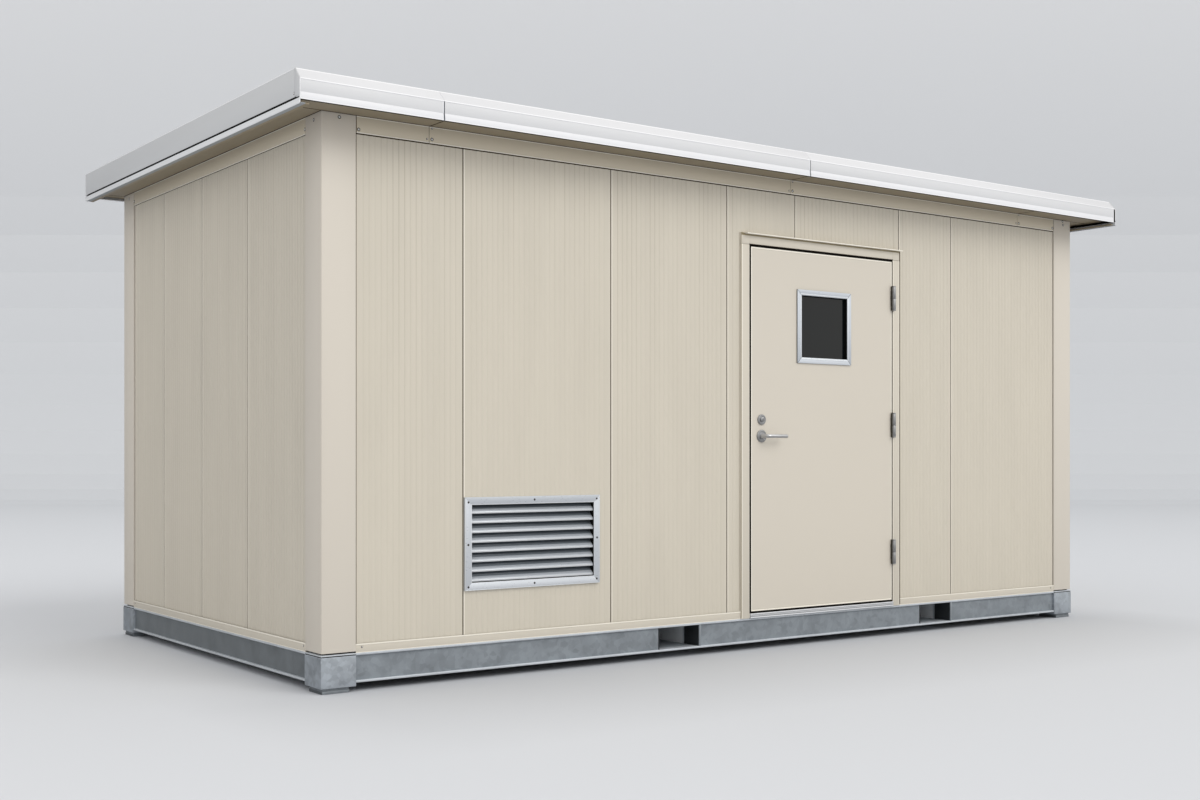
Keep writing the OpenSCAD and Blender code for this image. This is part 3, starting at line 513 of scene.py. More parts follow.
class Shape:
    """Gathers closed solids in wall-frame millimetres and turns them into one piece."""

    def __init__(self):
        """Starts with no solids."""
        self.bm = bmesh.new()

    def prism(self, outline, start, end, axis="x"):
        """Solid whose outline runs along an axis; outline points leave that axis out."""
        turn = {"x": lambda a, b, t: (t, a, b), "y": lambda a, b, t: (a, t, b),
                "z": lambda a, b, t: (a, b, t)}[axis]
        rings = [[self.bm.verts.new(turn(a, b, t)) for a, b in outline] for t in (start, end)]
        count = len(outline)
        faces = [self.bm.faces.new(ring) for ring in rings]
        for i in range(count):
            j = (i + 1) % count
            faces.append(self.bm.faces.new((rings[0][i], rings[0][j], rings[1][j], rings[1][i])))
        bmesh.ops.recalc_face_normals(self.bm, faces=faces)
        return self

    def skin(self, rings):
        """Closes rings of points into a solid with smooth sides and flat ends."""
        sides = len(rings[0])
        faces = [self.bm.faces.new(rings[0]), self.bm.faces.new(rings[-1])]
        for low, high in zip(rings, rings[1:]):
            for k in range(sides):
                j = (k + 1) % sides
                faces.append(self.bm.faces.new((low[k], low[j], high[j], high[k])))
                faces[-1].smooth = True
        bmesh.ops.recalc_face_normals(self.bm, faces=faces)
        return self

    def box(self, low, high):
        """Block between two corners."""
        outline = [(low[0], low[1]), (high[0], low[1]), (high[0], high[1]), (low[0], high[1])]
        return self.prism(outline, low[2], high[2], "z")

    def turned(self, profile, centre, axis="z", sides=32):
        """Solid turned about the z or y axis from (radius, distance along it) pairs."""
        spin = {"z": lambda u, v, t: (u, v, t), "y": lambda u, v, t: (u, t, v)}[axis]
        rings = []
        for radius, along in profile:
            ring = []
            for k in range(sides):
                angle = 2 * math.pi * k / sides
                point = spin(radius * math.cos(angle), radius * math.sin(angle), along)
                ring.append(self.bm.verts.new(Vector(centre) + Vector(point)))
            rings.append(ring)
        return self.skin(rings)

    def swept(self, points, radius, sides=24, tip=1.0):
        """Round bar along a bent line; tip narrows its last end."""
        rings = []
        for i, point in enumerate(points):
            before, after = points[max(i - 1, 0)], points[min(i + 1, len(points) - 1)]
            ahead = (Vector(after) - Vector(before)).normalized()
            side = ahead.cross(Vector((0, 0, 1))).normalized()
            up = side.cross(ahead)
            wide = radius * (tip if i == len(points) - 1 else 1)
            ring = []
            for k in range(sides):
                angle = 2 * math.pi * k / sides
                offset = (side * math.cos(angle) + up * math.sin(angle)) * wide
                ring.append(self.bm.verts.new(Vector(point) + offset))
            rings.append(ring)
        return self.skin(rings)

    def mesh(self, mesh, move=None):
        """Adds a mesh made elsewhere, moved by a matrix."""
        if move is not None:
            mesh.transform(move)
        self.bm.from_mesh(mesh)
        return self

    def cad(self, node):
        """Adds a CAD node's own form with its loose triangles joined."""
        part = bmesh.new()
        part.from_mesh(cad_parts[node].data)
        part.transform(Matrix.Scale(1 / MM, 4) @ Matrix.Translation(-WALL_ORIGIN))
        bmesh.ops.remove_doubles(part, verts=part.verts, dist=SAME_POINT)
        bmesh.ops.dissolve_limit(part, angle_limit=SAME_FACE, verts=part.verts, edges=part.edges)
        bmesh.ops.recalc_face_normals(part, faces=part.faces)
        copy = bpy.data.meshes.new("copy")
        part.to_mesh(copy)
        part.free()
        if "custom_normal" in copy.attributes:
            copy.attributes.remove(copy.attributes["custom_normal"])
        return self.mesh(copy)

    def ring(self, low, high, bar, mitre=0.0):
        """Four mitred bars round an upright opening; mitre is the gap between their ends."""
        x0, y0, z0, x1, y1, z1 = *low, *high
        outer = [(x0, z0), (x1, z0), (x1, z1), (x0, z1)]
        inner = [(x0 + bar, z0 + bar), (x1 - bar, z0 + bar), (x1 - bar, z1 - bar),
                 (x0 + bar, z1 - bar)]
        for i in range(4):
            j = (i + 1) % 4
            along = Vector((outer[j][0] - outer[i][0], outer[j][1] - outer[i][1])).normalized()
            back = along * mitre / 2
            start = [(a + back.x, b + back.y) for a, b in (outer[i], inner[i])]
            end = [(a - back.x, b - back.y) for a, b in (inner[j], outer[j])]
            self.prism([start[0], start[1], end[0], end[1]], y0, y1, "y")
        return self

    def plain(self):
        """The gathered solids as one mesh, still in wall-frame millimetres."""
        mesh = bpy.data.meshes.new("plain")
        self.bm.to_mesh(mesh)
        self.bm.free()
        return mesh

    def piece(self, name, material, slot, body="building", stands_for=(), bevel=0, segments=2):
        """Finishes the piece: puts it in place, bevels its edges and lets it ride on its body."""
        mesh = self.plain()
        mesh.transform(Matrix.Translation(WALL_ORIGIN) @ Matrix.Scale(MM, 4))
        if bevel:
            thing = temporary(mesh)
            edge = thing.modifiers.new("edges", "BEVEL")
            edge.width = bevel * MM
            edge.segments = segments
            edge.limit_method = "ANGLE"
            edge.angle_limit = BEVEL_ANGLE
            mesh = plain_mesh(thing)
            bpy.data.objects.remove(thing)
        mesh.name = name
        mesh.materials.clear()
        mesh.materials.append(material)
        mesh.polygons.foreach_set("material_index", [0] * len(mesh.polygons))
        mesh.set_sharp_from_angle(angle=SHARP_ANGLE)
        thing = bpy.data.objects.new(name, mesh)
        bpy.context.scene.collection.objects.link(thing)
        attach(thing, body)
        if stands_for:
            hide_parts(*stands_for)


def dressed(node, material, slot, bevel=0, body="building"):
    """A CAD node's form, its edges softened by a bevel."""
    Shape().cad(node).piece(node + "_finished", material, slot, body, (node,), bevel)


def kept(node, material):
    """A CAD node shown as it is."""
    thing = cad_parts[node]
    thing.data.materials.clear()
    thing.data.materials.append(material)


# ---------------------------------------------------------------- Geometry Nodes

# Points that draw one groove of a wall panel, and points that draw the rest of its plan
GROOVE_POINTS = 4
EDGE_POINTS = 10
# Width of the small step between a panel's edge strip, which carries a painted highlight, and its
# face
HEM_STEP = 0.5
# Points this near to a face count as on it
NEAR = 0.1
# Groove lines of painted shade: the palest, and how few are strong
LINE_LEAST = 0.15
LINE_RARITY = 1.5
# Screw heads: corners, and the foot and top of the dome as shares of the radius
HEAD_SIDES = 14
DOME_FOOT = 0.8
DOME_TOP = 0.45


def shape_tree(name, inputs):
    """Empty Geometry Nodes tree with named inputs; the first is the piece's own mesh."""
    tree = bpy.data.node_groups.new(name, "GeometryNodeTree")
    tree.interface.new_socket("Geometry", in_out="INPUT", socket_type="NodeSocketGeometry")
    for label, kind in inputs:
        tree.interface.new_socket(label, in_out="INPUT", socket_type=kind)
    tree.interface.new_socket("Geometry", in_out="OUTPUT", socket_type="NodeSocketGeometry")
    return tree, tree.nodes.new("NodeGroupInput").outputs, tree.nodes.new("NodeGroupOutput")


def picked(tree, index, values):
    """Value chosen from a list by its place in it."""
    node = add(tree, "GeometryNodeIndexSwitch", data_type="FLOAT")
    while len(node.index_switch_items) < len(values):
        node.index_switch_items.new()
    fill(tree, node, {"Index": index})
    for i, value in enumerate(values):
        fill(tree, node, {i + 1: value})
    return node.outputs[0]


def joined(tree, parts):
    """One geometry made of several."""
    node = add(tree, "GeometryNodeJoinGeometry")
    for part in parts:
        tree.links.new(part.outputs[0], node.inputs[0])
    return node.outputs[0]


def ended(tree, out, geometry, material):
    """The tree with its last steps: instances made real and the material set."""
    real = add(tree, "GeometryNodeRealizeInstances", {"Geometry": geometry})
    last = add(tree, "GeometryNodeSetMaterial", {"Geometry": real.outputs[0], "Material": material})
    fill(tree, out, {"Geometry": last.outputs[0]})
    return tree


def stored(tree, geometry, name, value):
    """Geometry that carries a named value on its points."""
    return add(tree, "GeometryNodeStoreNamedAttribute", {
        "Geometry": geometry, "Name": name, "Value": value},
        data_type="FLOAT", domain="POINT").outputs[0]


def panel_tree():
    """Insulated wall panel with fine upright grooves and a stepped edge at its joints."""
    tree, given, out = shape_tree("wall_panel", [
        *((label, "NodeSocketFloat") for label in (
            "Width", "Thickness", "Height", "Pitch", "Groove Width", "Groove Depth", "Left Slot",
            "Right Slot", "Slot Depth", "Hem Width")),
        ("Seed", "NodeSocketInt"), ("Material", "NodeSocketMaterial")])
    width, pitch, thick = given["Width"], given["Pitch"], given["Thickness"]
    ribs = calc(tree, "FLOOR", calc(tree, "DIVIDE", calc(tree, "SUBTRACT", width, pitch), pitch))
    first = calc(tree, "MULTIPLY", 0.5, calc(tree, "SUBTRACT", width, calc(
        tree, "MULTIPLY", pitch, calc(tree, "SUBTRACT", ribs, 1))))
    face_points = calc(tree, "MULTIPLY", ribs, GROOVE_POINTS)
    line = add(tree, "GeometryNodeMeshLine", {"Count": calc(tree, "ADD", face_points, EDGE_POINTS)})
    index = add(tree, "GeometryNodeInputIndex").outputs[0]

    # Points of the face: four to a groove, the middle two sunk
    rib = calc(tree, "FLOOR", calc(tree, "DIVIDE", index, GROOVE_POINTS))
    step = calc(tree, "SUBTRACT", calc(
        tree, "SUBTRACT", index, calc(tree, "MULTIPLY", rib, GROOVE_POINTS)), (GROOVE_POINTS - 1) / 2)
    face_x = calc(tree, "ADD", calc(tree, "MULTIPLY_ADD", rib, pitch, first), calc(
        tree, "MULTIPLY", step, calc(tree, "DIVIDE", given["Groove Width"], GROOVE_POINTS - 1)))
    sunk = calc(tree, "LESS_THAN", calc(tree, "ABSOLUTE", step), 1)
    face_y = calc(tree, "MULTIPLY", sunk, given["Groove Depth"])

    # The other points, from the face's right end round the back to its left end
    edge = calc(tree, "SUBTRACT", index, face_points)
    left, depth = given["Left Slot"], given["Slot Depth"]
    right_x = calc(tree, "SUBTRACT", width, given["Right Slot"])
    hem_x = calc(tree, "ADD", left, given["Hem Width"])
    hem_end = calc(tree, "ADD", hem_x, HEM_STEP)
    edge_x = picked(tree, edge, [right_x, right_x, width, width, 0.0, 0.0, left, left, hem_x,
                                 hem_end])
    edge_y = picked(tree, edge, [0.0, depth, depth, thick, thick, depth, depth, 0.0, 0.0, 0.0])

    on_face = calc(tree, "LESS_THAN", index, face_points)
    point = add(tree, "ShaderNodeCombineXYZ", {"X": between(tree, on_face, edge_x, face_x),
                                               "Y": between(tree, on_face, edge_y, face_y)})
    placed = add(tree, "GeometryNodeSetPosition", {
        "Geometry": line.outputs[0], "Position": point.outputs[0]})
    curve = add(tree, "GeometryNodeMeshToCurve", {"Mesh": placed.outputs[0]})
    loop = add(tree, "GeometryNodeSetSplineCyclic", {"Geometry": curve.outputs[0], "Cyclic": True})
    foot = add(tree, "GeometryNodeFillCurve", {"Curve": loop.outputs[0]}, mode="NGONS")
    lifted = add(tree, "GeometryNodeExtrudeMesh", {
        "Mesh": foot.outputs[0], "Offset": (0, 0, 1), "Offset Scale": given["Height"],
        "Individual": False}, mode="FACES")
    under = add(tree, "GeometryNodeFlipFaces", {"Mesh": foot.outputs[0]})
    whole = add(tree, "GeometryNodeMergeByDistance", {
        "Geometry": joined(tree, (lifted, under)), "Distance": SAME_POINT})

    where = parted(tree, add(tree, "GeometryNodeInputPosition").outputs[0])
    near = calc(tree, "FLOOR", calc(tree, "ADD", 0.5, calc(
        tree, "DIVIDE", calc(tree, "SUBTRACT", where["X"], first), pitch)))
    chance = add(tree, "FunctionNodeRandomValue", {
        "ID": near, "Seed": given["Seed"]}, data_type="FLOAT").outputs[1]
    strength = calc(tree, "MULTIPLY_ADD", calc(tree, "POWER", chance, LINE_RARITY),
                    1 - LINE_LEAST, LINE_LEAST)
    # Marks for the sheet's material: painted shade at the bottom of each groove, the joint, and a
    # painted highlight on the left edge strip
    in_groove = calc(tree, "COMPARE", where["Y"], given["Groove Depth"], NEAR)
    groove_shade = calc(tree, "MULTIPLY", in_groove, strength)
    joint = calc(tree, "COMPARE", where["Y"], depth, NEAR)
    on_left = calc(tree, "MULTIPLY",
                   calc(tree, "LESS_THAN", where["X"], calc(tree, "ADD", hem_x, NEAR)),
                   calc(tree, "LESS_THAN", where["Y"], NEAR))
    on_left = calc(tree, "MULTIPLY", on_left, calc(tree, "LESS_THAN", left, POST_SLOT - NEAR))
    marked = stored(tree, whole.outputs[0], "groove_shade", groove_shade)
    marked = stored(tree, marked, "joint", joint)
    marked = stored(tree, marked, "edge_highlight", on_left)
    return ended(tree, out, marked, given["Material"])


def repeat_tree():
    """The piece's own mesh set out again and again along a line."""
    tree, given, out = shape_tree("repeat_along", [
        ("Count", "NodeSocketInt"), ("Step", "NodeSocketVector"),
        ("Material", "NodeSocketMaterial")])
    line = add(tree, "GeometryNodeMeshLine", {"Count": given["Count"], "Offset": given["Step"]})
    copies = add(tree, "GeometryNodeInstanceOnPoints", {
        "Points": line.outputs[0], "Instance": given["Geometry"]})
    return ended(tree, out, copies.outputs[0], given["Material"])


def screw_tree():
    """Domed screw heads standing on the piece's points."""
    tree, given, out = shape_tree("screw_heads", [
        ("Radius", "NodeSocketFloat"), ("Height", "NodeSocketFloat"),
        ("Turn", "NodeSocketVector"), ("Material", "NodeSocketMaterial")])
    rim = calc(tree, "MULTIPLY", given["Height"], 0.5)
    washer = add(tree, "GeometryNodeMeshCylinder", {
        "Vertices": HEAD_SIDES, "Radius": given["Radius"], "Depth": given["Height"]})
    head = add(tree, "GeometryNodeMeshCone", {
        "Vertices": HEAD_SIDES, "Depth": given["Height"],
        "Radius Bottom": calc(tree, "MULTIPLY", given["Radius"], DOME_FOOT),
        "Radius Top": calc(tree, "MULTIPLY", given["Radius"], DOME_TOP)})
    lift = add(tree, "ShaderNodeCombineXYZ", {"Z": rim})
    raised = add(tree, "GeometryNodeTransform", {
        "Geometry": head.outputs[0], "Translation": lift.outputs[0]})
    heads = add(tree, "GeometryNodeInstanceOnPoints", {
        "Points": given["Geometry"], "Instance": joined(tree, (washer, raised)),
        "Rotation": given["Turn"]})
    return ended(tree, out, heads.outputs[0], given["Material"])


PANEL_TREE = panel_tree()
REPEAT_TREE = repeat_tree()
SCREW_TREE = screw_tree()


def grown(tree, values, start=None):
    """Plain mesh that a Geometry Nodes tree makes from a starting mesh and named sizes."""
    thing = temporary(start or bpy.data.meshes.new("start"))
    maker = thing.modifiers.new("maker", "NODES")
    maker.node_group = tree
    for item in tree.interface.items_tree:
        if item.in_out == "INPUT" and item.name in values:
            maker[item.identifier] = values[item.name]
    mesh = plain_mesh(thing)
    bpy.data.objects.remove(thing)
    return mesh


def repeated(first, count, step, material):
    """Mesh of a shape set out a number of times, each one step from the last."""
    return grown(REPEAT_TREE, {"Count": count, "Step": tuple(float(part) for part in step),
                               "Material": material}, first.plain())


# ---------------------------------------------------------------- wall panels

RIB_PITCH = 31
GROOVE_WIDTH = 6
GROOVE_DEPTH = 0.9
SLOT_WIDTH = 3
SLOT_DEPTH = 6
HEM_WIDTH = 6
# Bars and sleeve of the louvre frame, which the hole in the wall is cut to
LOUVRE_BAR = 38
SLEEVE = 3
# The cutter of a hole starts before the wall's face and ends behind the wall
HOLE_PAST = 50
HOLE_DEPTH = 150
# Each panel's grooves differ by its seed; the side and back walls count on from these
SIDE_SEED = 20
BACK_SEED = 40


def wall_panel(width, thickness, height, left=SLOT_WIDTH, right=SLOT_WIDTH, seed=1):
    """Mesh of one panel, its face on y = 0 and its foot on z = 0."""
    return grown(PANEL_TREE, {
        "Width": width, "Thickness": thickness, "Height": height, "Pitch": float(RIB_PITCH),
        "Groove Width": float(GROOVE_WIDTH), "Groove Depth": GROOVE_DEPTH,
        "Left Slot": float(left), "Right Slot": float(right), "Slot Depth": float(SLOT_DEPTH),
        "Hem Width": float(HEM_WIDTH), "Seed": seed, "Material": WALL})


def with_hole(mesh, low, high):
    """Mesh with a block cut out of it."""
    thing, cutter = temporary(mesh), temporary(Shape().box(low, high).plain())
    cut = thing.modifiers.new("hole", "BOOLEAN")
    cut.operation = "DIFFERENCE"
    cut.solver = "EXACT"
    cut.object = cutter
    result = plain_mesh(thing)
    for used in (thing, cutter):
        bpy.data.objects.remove(used)
    return result


def front_panel(node, left=SLOT_WIDTH, right=SLOT_WIDTH, seed=1, hole=None):
    """One panel of the front wall, with the hole for the louvre or the doorway."""
    low, high = span(node)
    mesh = wall_panel(high.x - low.x, high.y - low.y, high.z - low.z, left, right, seed)
    mesh.transform(Matrix.Translation(low))
    if hole:
        mesh = with_hole(mesh, *hole)
    Shape().mesh(mesh).piece(node + "_finished", WALL, "wall_paint", stands_for=(node,))


def side_wall(node, turn, face_x, forward):
    """Panels of one side wall; forward says whether the panels run to the back or the front."""
    low, high = span(node)
    shape = Shape()
    bays = [(a.y, b.y) for a, b in solids(node)]
    for i, (start, end) in enumerate(bays):
        ends = [POST_SLOT if i == 0 else SLOT_WIDTH,
                POST_SLOT if i == len(bays) - 1 else SLOT_WIDTH]
        if not forward:
            ends.reverse()
        mesh = wall_panel(end - start, high.x - low.x, high.z - low.z, *ends, seed=SIDE_SEED + i)
        corner = Vector((face_x, start if forward else end, low.z))
        shape.mesh(mesh, Matrix.Translation(corner) @ Matrix.Rotation(turn, 4, "Z"))
    shape.piece(node + "_finished", WALL, "wall_paint", stands_for=(node,))


def back_wall():
    """Panels of the back wall."""
    node = "back_wall_panels"
    low, high = span(node)
    shape = Shape()
    bays = [(a.x, b.x) for a, b in solids(node)]
    for i, (start, end) in enumerate(bays):
        left = POST_SLOT if i == len(bays) - 1 else SLOT_WIDTH
        right = POST_SLOT if i == 0 else SLOT_WIDTH
        mesh = wall_panel(end - start, high.y - low.y, high.z - low.z, left, right, BACK_SEED + i)
        shape.mesh(mesh, Matrix.Translation((end, high.y, low.z)) @ Matrix.Rotation(math.pi, 4, "Z"))
    shape.piece(node + "_finished", WALL, "wall_paint", stands_for=(node,))


def front_wall():
    """The panels of the front wall, with the louvre's hole in one and the doorway in another."""
    louvre_low, louvre_high = span("louvre_frame")
    lip = LOUVRE_BAR - SLEEVE
    vent = (Vector((louvre_low.x + lip, -HOLE_PAST, louvre_low.z + lip)),
            Vector((louvre_high.x - lip, HOLE_DEPTH, louvre_high.z - lip)))
    frame_low, frame_high = span("door_frame")
    doorway = (Vector((frame_low.x, -HOLE_PAST, -HOLE_PAST)),
               Vector((frame_high.x, HOLE_DEPTH, frame_high.z)))
    front_panel("front_panel_1", left=POST_SLOT, seed=1)
    front_panel("front_panel_2", seed=2, hole=vent)
    front_panel("front_panel_3", seed=3)
    front_panel("front_panel_4", seed=4, hole=doorway)
    front_panel("door_head_panel", seed=5)
    front_panel("front_panel_5", seed=6)
    front_panel("front_panel_6", right=POST_SLOT, seed=7)


def walls():
    """All wall panels."""
    front_wall()
    left_low = span("left_wall_panels")[0]
    right_high = span("right_wall_panels")[1]
    side_wall("left_wall_panels", -math.pi / 2, left_low.x, False)
    side_wall("right_wall_panels", math.pi / 2, right_high.x, True)
    back_wall()


# ---------------------------------------------------------------- skid

CAP_T = 6
CAP_GROOVE = 4
GROOVE_IN = 3
PAD_STEP = 14
PAD_IN = 2
# Darker skins on the sides of feet and blocks, as painted shade: thickness and distance from the
# edges
SIDE_SKIN = 0.6
FOOT_SKIN_IN = 1
SKIN_IN = 3
# Webs stand back from the building's outline, and end at a fork pocket within reach
WEB_FACE = 12
WEB_REACH = 30
POCKET_GAP = 0.5
# Mouth plates of a fork pocket, and the lip of painted shade and edge of painted highlight that stand
# on them
MOUTH = 144
LIP_SKIN = 1.5
LIP_START = 6
LIP_SHORT = 14
EDGE_SHORT = 11


def corner_feet():
    """Foot pads, each of a broad plate with a slightly smaller one on it, and darker skins on two
    faces as painted shade.
    """
    pads, sides = Shape(), Shape()
    for low, high in solids("corner_feet"):
        step = low.z + PAD_STEP
        pads.box(low, (high.x, high.y, step))
        pads.box((low.x + PAD_IN, low.y + PAD_IN, step), (high.x - PAD_IN, high.y - PAD_IN, high.z))
        for x in (low.x - SIDE_SKIN, high.x):
            sides.box((x, low.y + FOOT_SKIN_IN, low.z + FOOT_SKIN_IN),
                      (x + SIDE_SKIN, high.y - FOOT_SKIN_IN, step - FOOT_SKIN_IN))
    pads.piece("corner_feet_finished", ZINC_PAD, "galvanised_steel",
               stands_for=("corner_feet",), bevel=0.8)
    sides.piece("corner_feet_side_shades", ZINC_FOOT_SHADE, "galvanised_steel")


def corner_blocks():
    """Corner blocks with a cap plate in a painted highlight over a narrow groove darkened as painted
    shade, and darker skins on two faces as painted shade.
    """
    blocks, caps, grooves, sides = Shape(), Shape(), Shape(), Shape()
    for low, high in solids("corner_blocks"):
        cap = high.z - CAP_T
        blocks.box(low, (high.x, high.y, cap - CAP_GROOVE))
        # Dark core in the groove: painted shade
        grooves.box((low.x + GROOVE_IN, low.y + GROOVE_IN, cap - CAP_GROOVE - LAP),
                    (high.x - GROOVE_IN, high.y - GROOVE_IN, cap + LAP))
        caps.box((low.x, low.y, cap), high)
        for x in (low.x - SIDE_SKIN, high.x):
            sides.box((x, low.y + SKIN_IN, low.z + SKIN_IN),
                      (x + SIDE_SKIN, high.y - SKIN_IN, cap - CAP_GROOVE - SKIN_IN))
    blocks.piece("corner_blocks_finished", ZINC_BLOCK, "galvanised_steel",
                 stands_for=("corner_blocks",), bevel=2.5, segments=3)
    caps.piece("corner_block_caps", ZINC_HIGHLIGHT, "galvanised_steel", bevel=1.5)
    grooves.piece("corner_block_grooves", SHADOW_GAP, "galvanised_steel")
    sides.piece("corner_block_side_shades", ZINC_BLOCK_SHADE, "galvanised_steel")


def skid_rails():
    """Rails with closed faces just inside the flanges, the flanges in a painted highlight and the
    webs of the ends darker as painted shade.
    """
    dressed("skid_flanges", ZINC_HIGHLIGHT, "galvanised_steel", 2)
    long_webs, side_webs = Shape(), Shape()
    pockets = solids("fork_pocket_sides")
    for low, high in solids("skid_webs"):
        low, high = low.copy(), high.copy()
        z0, z1 = low.z - LAP, high.z + LAP
        if high.x - low.x < high.y - low.y:
            if low.x < BODY_L / 2:
                low.x = WEB_FACE
            else:
                high.x = BODY_L - WEB_FACE
            side_webs.box((low.x, low.y, z0), (high.x, high.y, z1))
            continue
        for near, far in pockets:
            if 0 < near.x - high.x < WEB_REACH:
                high.x = near.x - POCKET_GAP
            if 0 < low.x - far.x < WEB_REACH:
                low.x = far.x + POCKET_GAP
        if low.y < BODY_W / 2:
            low.y = WEB_FACE
        else:
            high.y = BODY_W - WEB_FACE
        long_webs.box((low.x, low.y, z0), (high.x, high.y, z1))
    long_webs.piece("long_webs", ZINC, "galvanised_steel", stands_for=("skid_webs",))
    side_webs.piece("side_webs", ZINC_END_SHADE, "galvanised_steel")


def fork_pockets():
    """Mouth plates, linings lightened as painted light, and floors of the fork pockets, with a lip of
    painted shade and a painted highlight inside each mouth.
    """
    plates, lining, lips, edges = Shape(), Shape(), Shape(), Shape()
    middles = [(a.x + b.x) / 2 for a, b in solids("fork_pocket_floors")]
    for low, high in solids("fork_pocket_sides"):
        nearest = min(middles, key=lambda x: abs(x - low.x))
        face, inward = (low.x, -1) if low.x > nearest else (high.x, 1)
        plate_start = 0 if inward < 0 else WEB_FACE - LAP
        whole = (low.x, high.x)
        skin = sorted((face - inward * LAP, face + inward * LIP_SKIN))
        lining.box((low.x, low.y + MOUTH, low.z), (high.x, high.y - MOUTH, high.z))
        for start, step in ((low.y, 1), (high.y, -1)):
            for shape, near, far, (x0, x1) in ((plates, plate_start, MOUTH, whole),
                                               (lips, LIP_START, MOUTH - LIP_SHORT, skin),
                                               (edges, MOUTH - EDGE_SHORT, MOUTH - LAP, skin)):
                y0, y1 = sorted((start + step * near, start + step * far))
                shape.box((x0, y0, low.z), (x1, y1, high.z))
    plates.piece("fork_pocket_plates", ZINC_PLATE, "galvanised_steel",
                 stands_for=("fork_pocket_sides",), bevel=1.5)
    lining.piece("fork_pocket_lining", ZINC_LINING_LIT, "galvanised_steel")
    lips.piece("fork_pocket_lips", ZINC_SHADE, "galvanised_steel")
    edges.piece("fork_pocket_lit_edges", ZINC_HIGHLIGHT, "galvanised_steel")
    dressed("fork_pocket_floors", ZINC, "galvanised_steel", 1)


def skid():
    """Steel skid: feet, blocks, rails, fork pockets, joists and deck."""
    corner_feet()
    corner_blocks()
    skid_rails()
    fork_pockets()
    kept("floor_joists", ZINC)
    kept("floor_deck", PLATE)
    # Post base plates in near black: painted shadow in the gap under the posts
    kept("post_base_plates", SHADOW_GAP)


# ---------------------------------------------------------------- posts, trims and screws

# Points of a post this near to its lowest one are its foot, which a skirt carries down
FOOT_NEAR = 1
POST_SKIRT = 5
# Folded edges of the trims, shown in a painted highlight: height of each and how far it stands out
BASE_HEM = 7
BASE_HEM_OUT = 1.8
FOOT_HEM = 3
FOOT_HEM_OUT = 1
TOP_HEM = 5
TOP_HEM_OUT = 1
CROWN_HEM_OUT = 0.7
# Places along the front of the top trim's joints, and the gaps there and beside the posts
TRIM_SPLICES = (563, 2929, 4956)
TRIM_GAP = 2.2
POST_GAP = 4
# Painted shadow below and behind the top trim: height below it and depth behind its face
TRIM_SHADOW_UNDER = 5
SIDE_TRIM_SHADOW_UNDER = 1
TRIM_SHADOW_BACK = 5
TRIM_SHADOW_FLUSH = 1.5
# Screws: radius, heights of head and ring, their radii as shares of the screw's, and how far
# the lowest stand above the skid
SCREW_R = 5
SMALL_SCREW_R = 3
SCREW_H = 1.8
RING_H = 0.8
HEAD_SPREAD = 1.1
RING_SPREAD = 1.7
BASE_SCREW_UP = 26
# Turns that make a screw look away from each side of the building
TO_FRONT = (math.pi / 2, 0, 0)
TO_BACK = (-math.pi / 2, 0, 0)
TO_LEFT = (0, -math.pi / 2, 0)
TO_RIGHT = (0, math.pi / 2, 0)


def outward(low, high):
    """Axis and sign in which a strip's broad face looks away from the building."""
    axis = 1 if high.y - low.y < high.x - low.x else 0
    middle = (BODY_L, BODY_W)[axis] / 2
    return axis, -1 if (low[axis] + high[axis]) / 2 < middle else 1


def proud_box(shape, low, high, z0, z1, out):
    """Part of a strip's height, standing out a little from its face."""
    axis, sign = outward(low, high)
    low, high = Vector((low.x, low.y, z0)), Vector((high.x, high.y, z1))
    if sign < 0:
        low[axis] -= out
    else:
        high[axis] += out
    shape.box(low, high)


def corner_posts():
    """Folded corner posts, with a short skirt over their feet."""
    posts = Shape().cad("corner_posts")
    foot = min(vert.co.z for vert in posts.bm.verts)
    for vert in posts.bm.verts:
        if vert.co.z < foot + FOOT_NEAR:
            vert.co.z -= POST_SKIRT
    posts.piece("corner_posts_finished", POST_LIT, "wall_paint", stands_for=("corner_posts",),
                bevel=3, segments=3)


def base_trims():
    """Trim along the foot of the walls with a folded upper edge, its folds in a painted highlight."""
    strips, hems = Shape(), Shape()
    for low, high in solids("base_trims"):
        strips.box(low, high)
        proud_box(hems, low, high, high.z - BASE_HEM, high.z, BASE_HEM_OUT)
        proud_box(hems, low, high, low.z, low.z + FOOT_HEM, FOOT_HEM_OUT)
    strips.piece("base_trims_finished", PAINT, "wall_paint", stands_for=("base_trims",), bevel=0.8)
    hems.piece("base_trim_hems", HEM_HIGHLIGHT, "wall_paint", bevel=1)


def trim_lengths(low, high):
    """Lengths of a top trim between its splices; the side trims have none."""
    if outward(low, high)[0] == 0:
        return [(low, high)]
    ends = [low.x - TRIM_GAP / 2, *TRIM_SPLICES, high.x + TRIM_GAP / 2]
    return [(Vector((a + TRIM_GAP / 2, low.y, low.z)), Vector((b - TRIM_GAP / 2, high.y, high.z)))
            for a, b in zip(ends, ends[1:])]


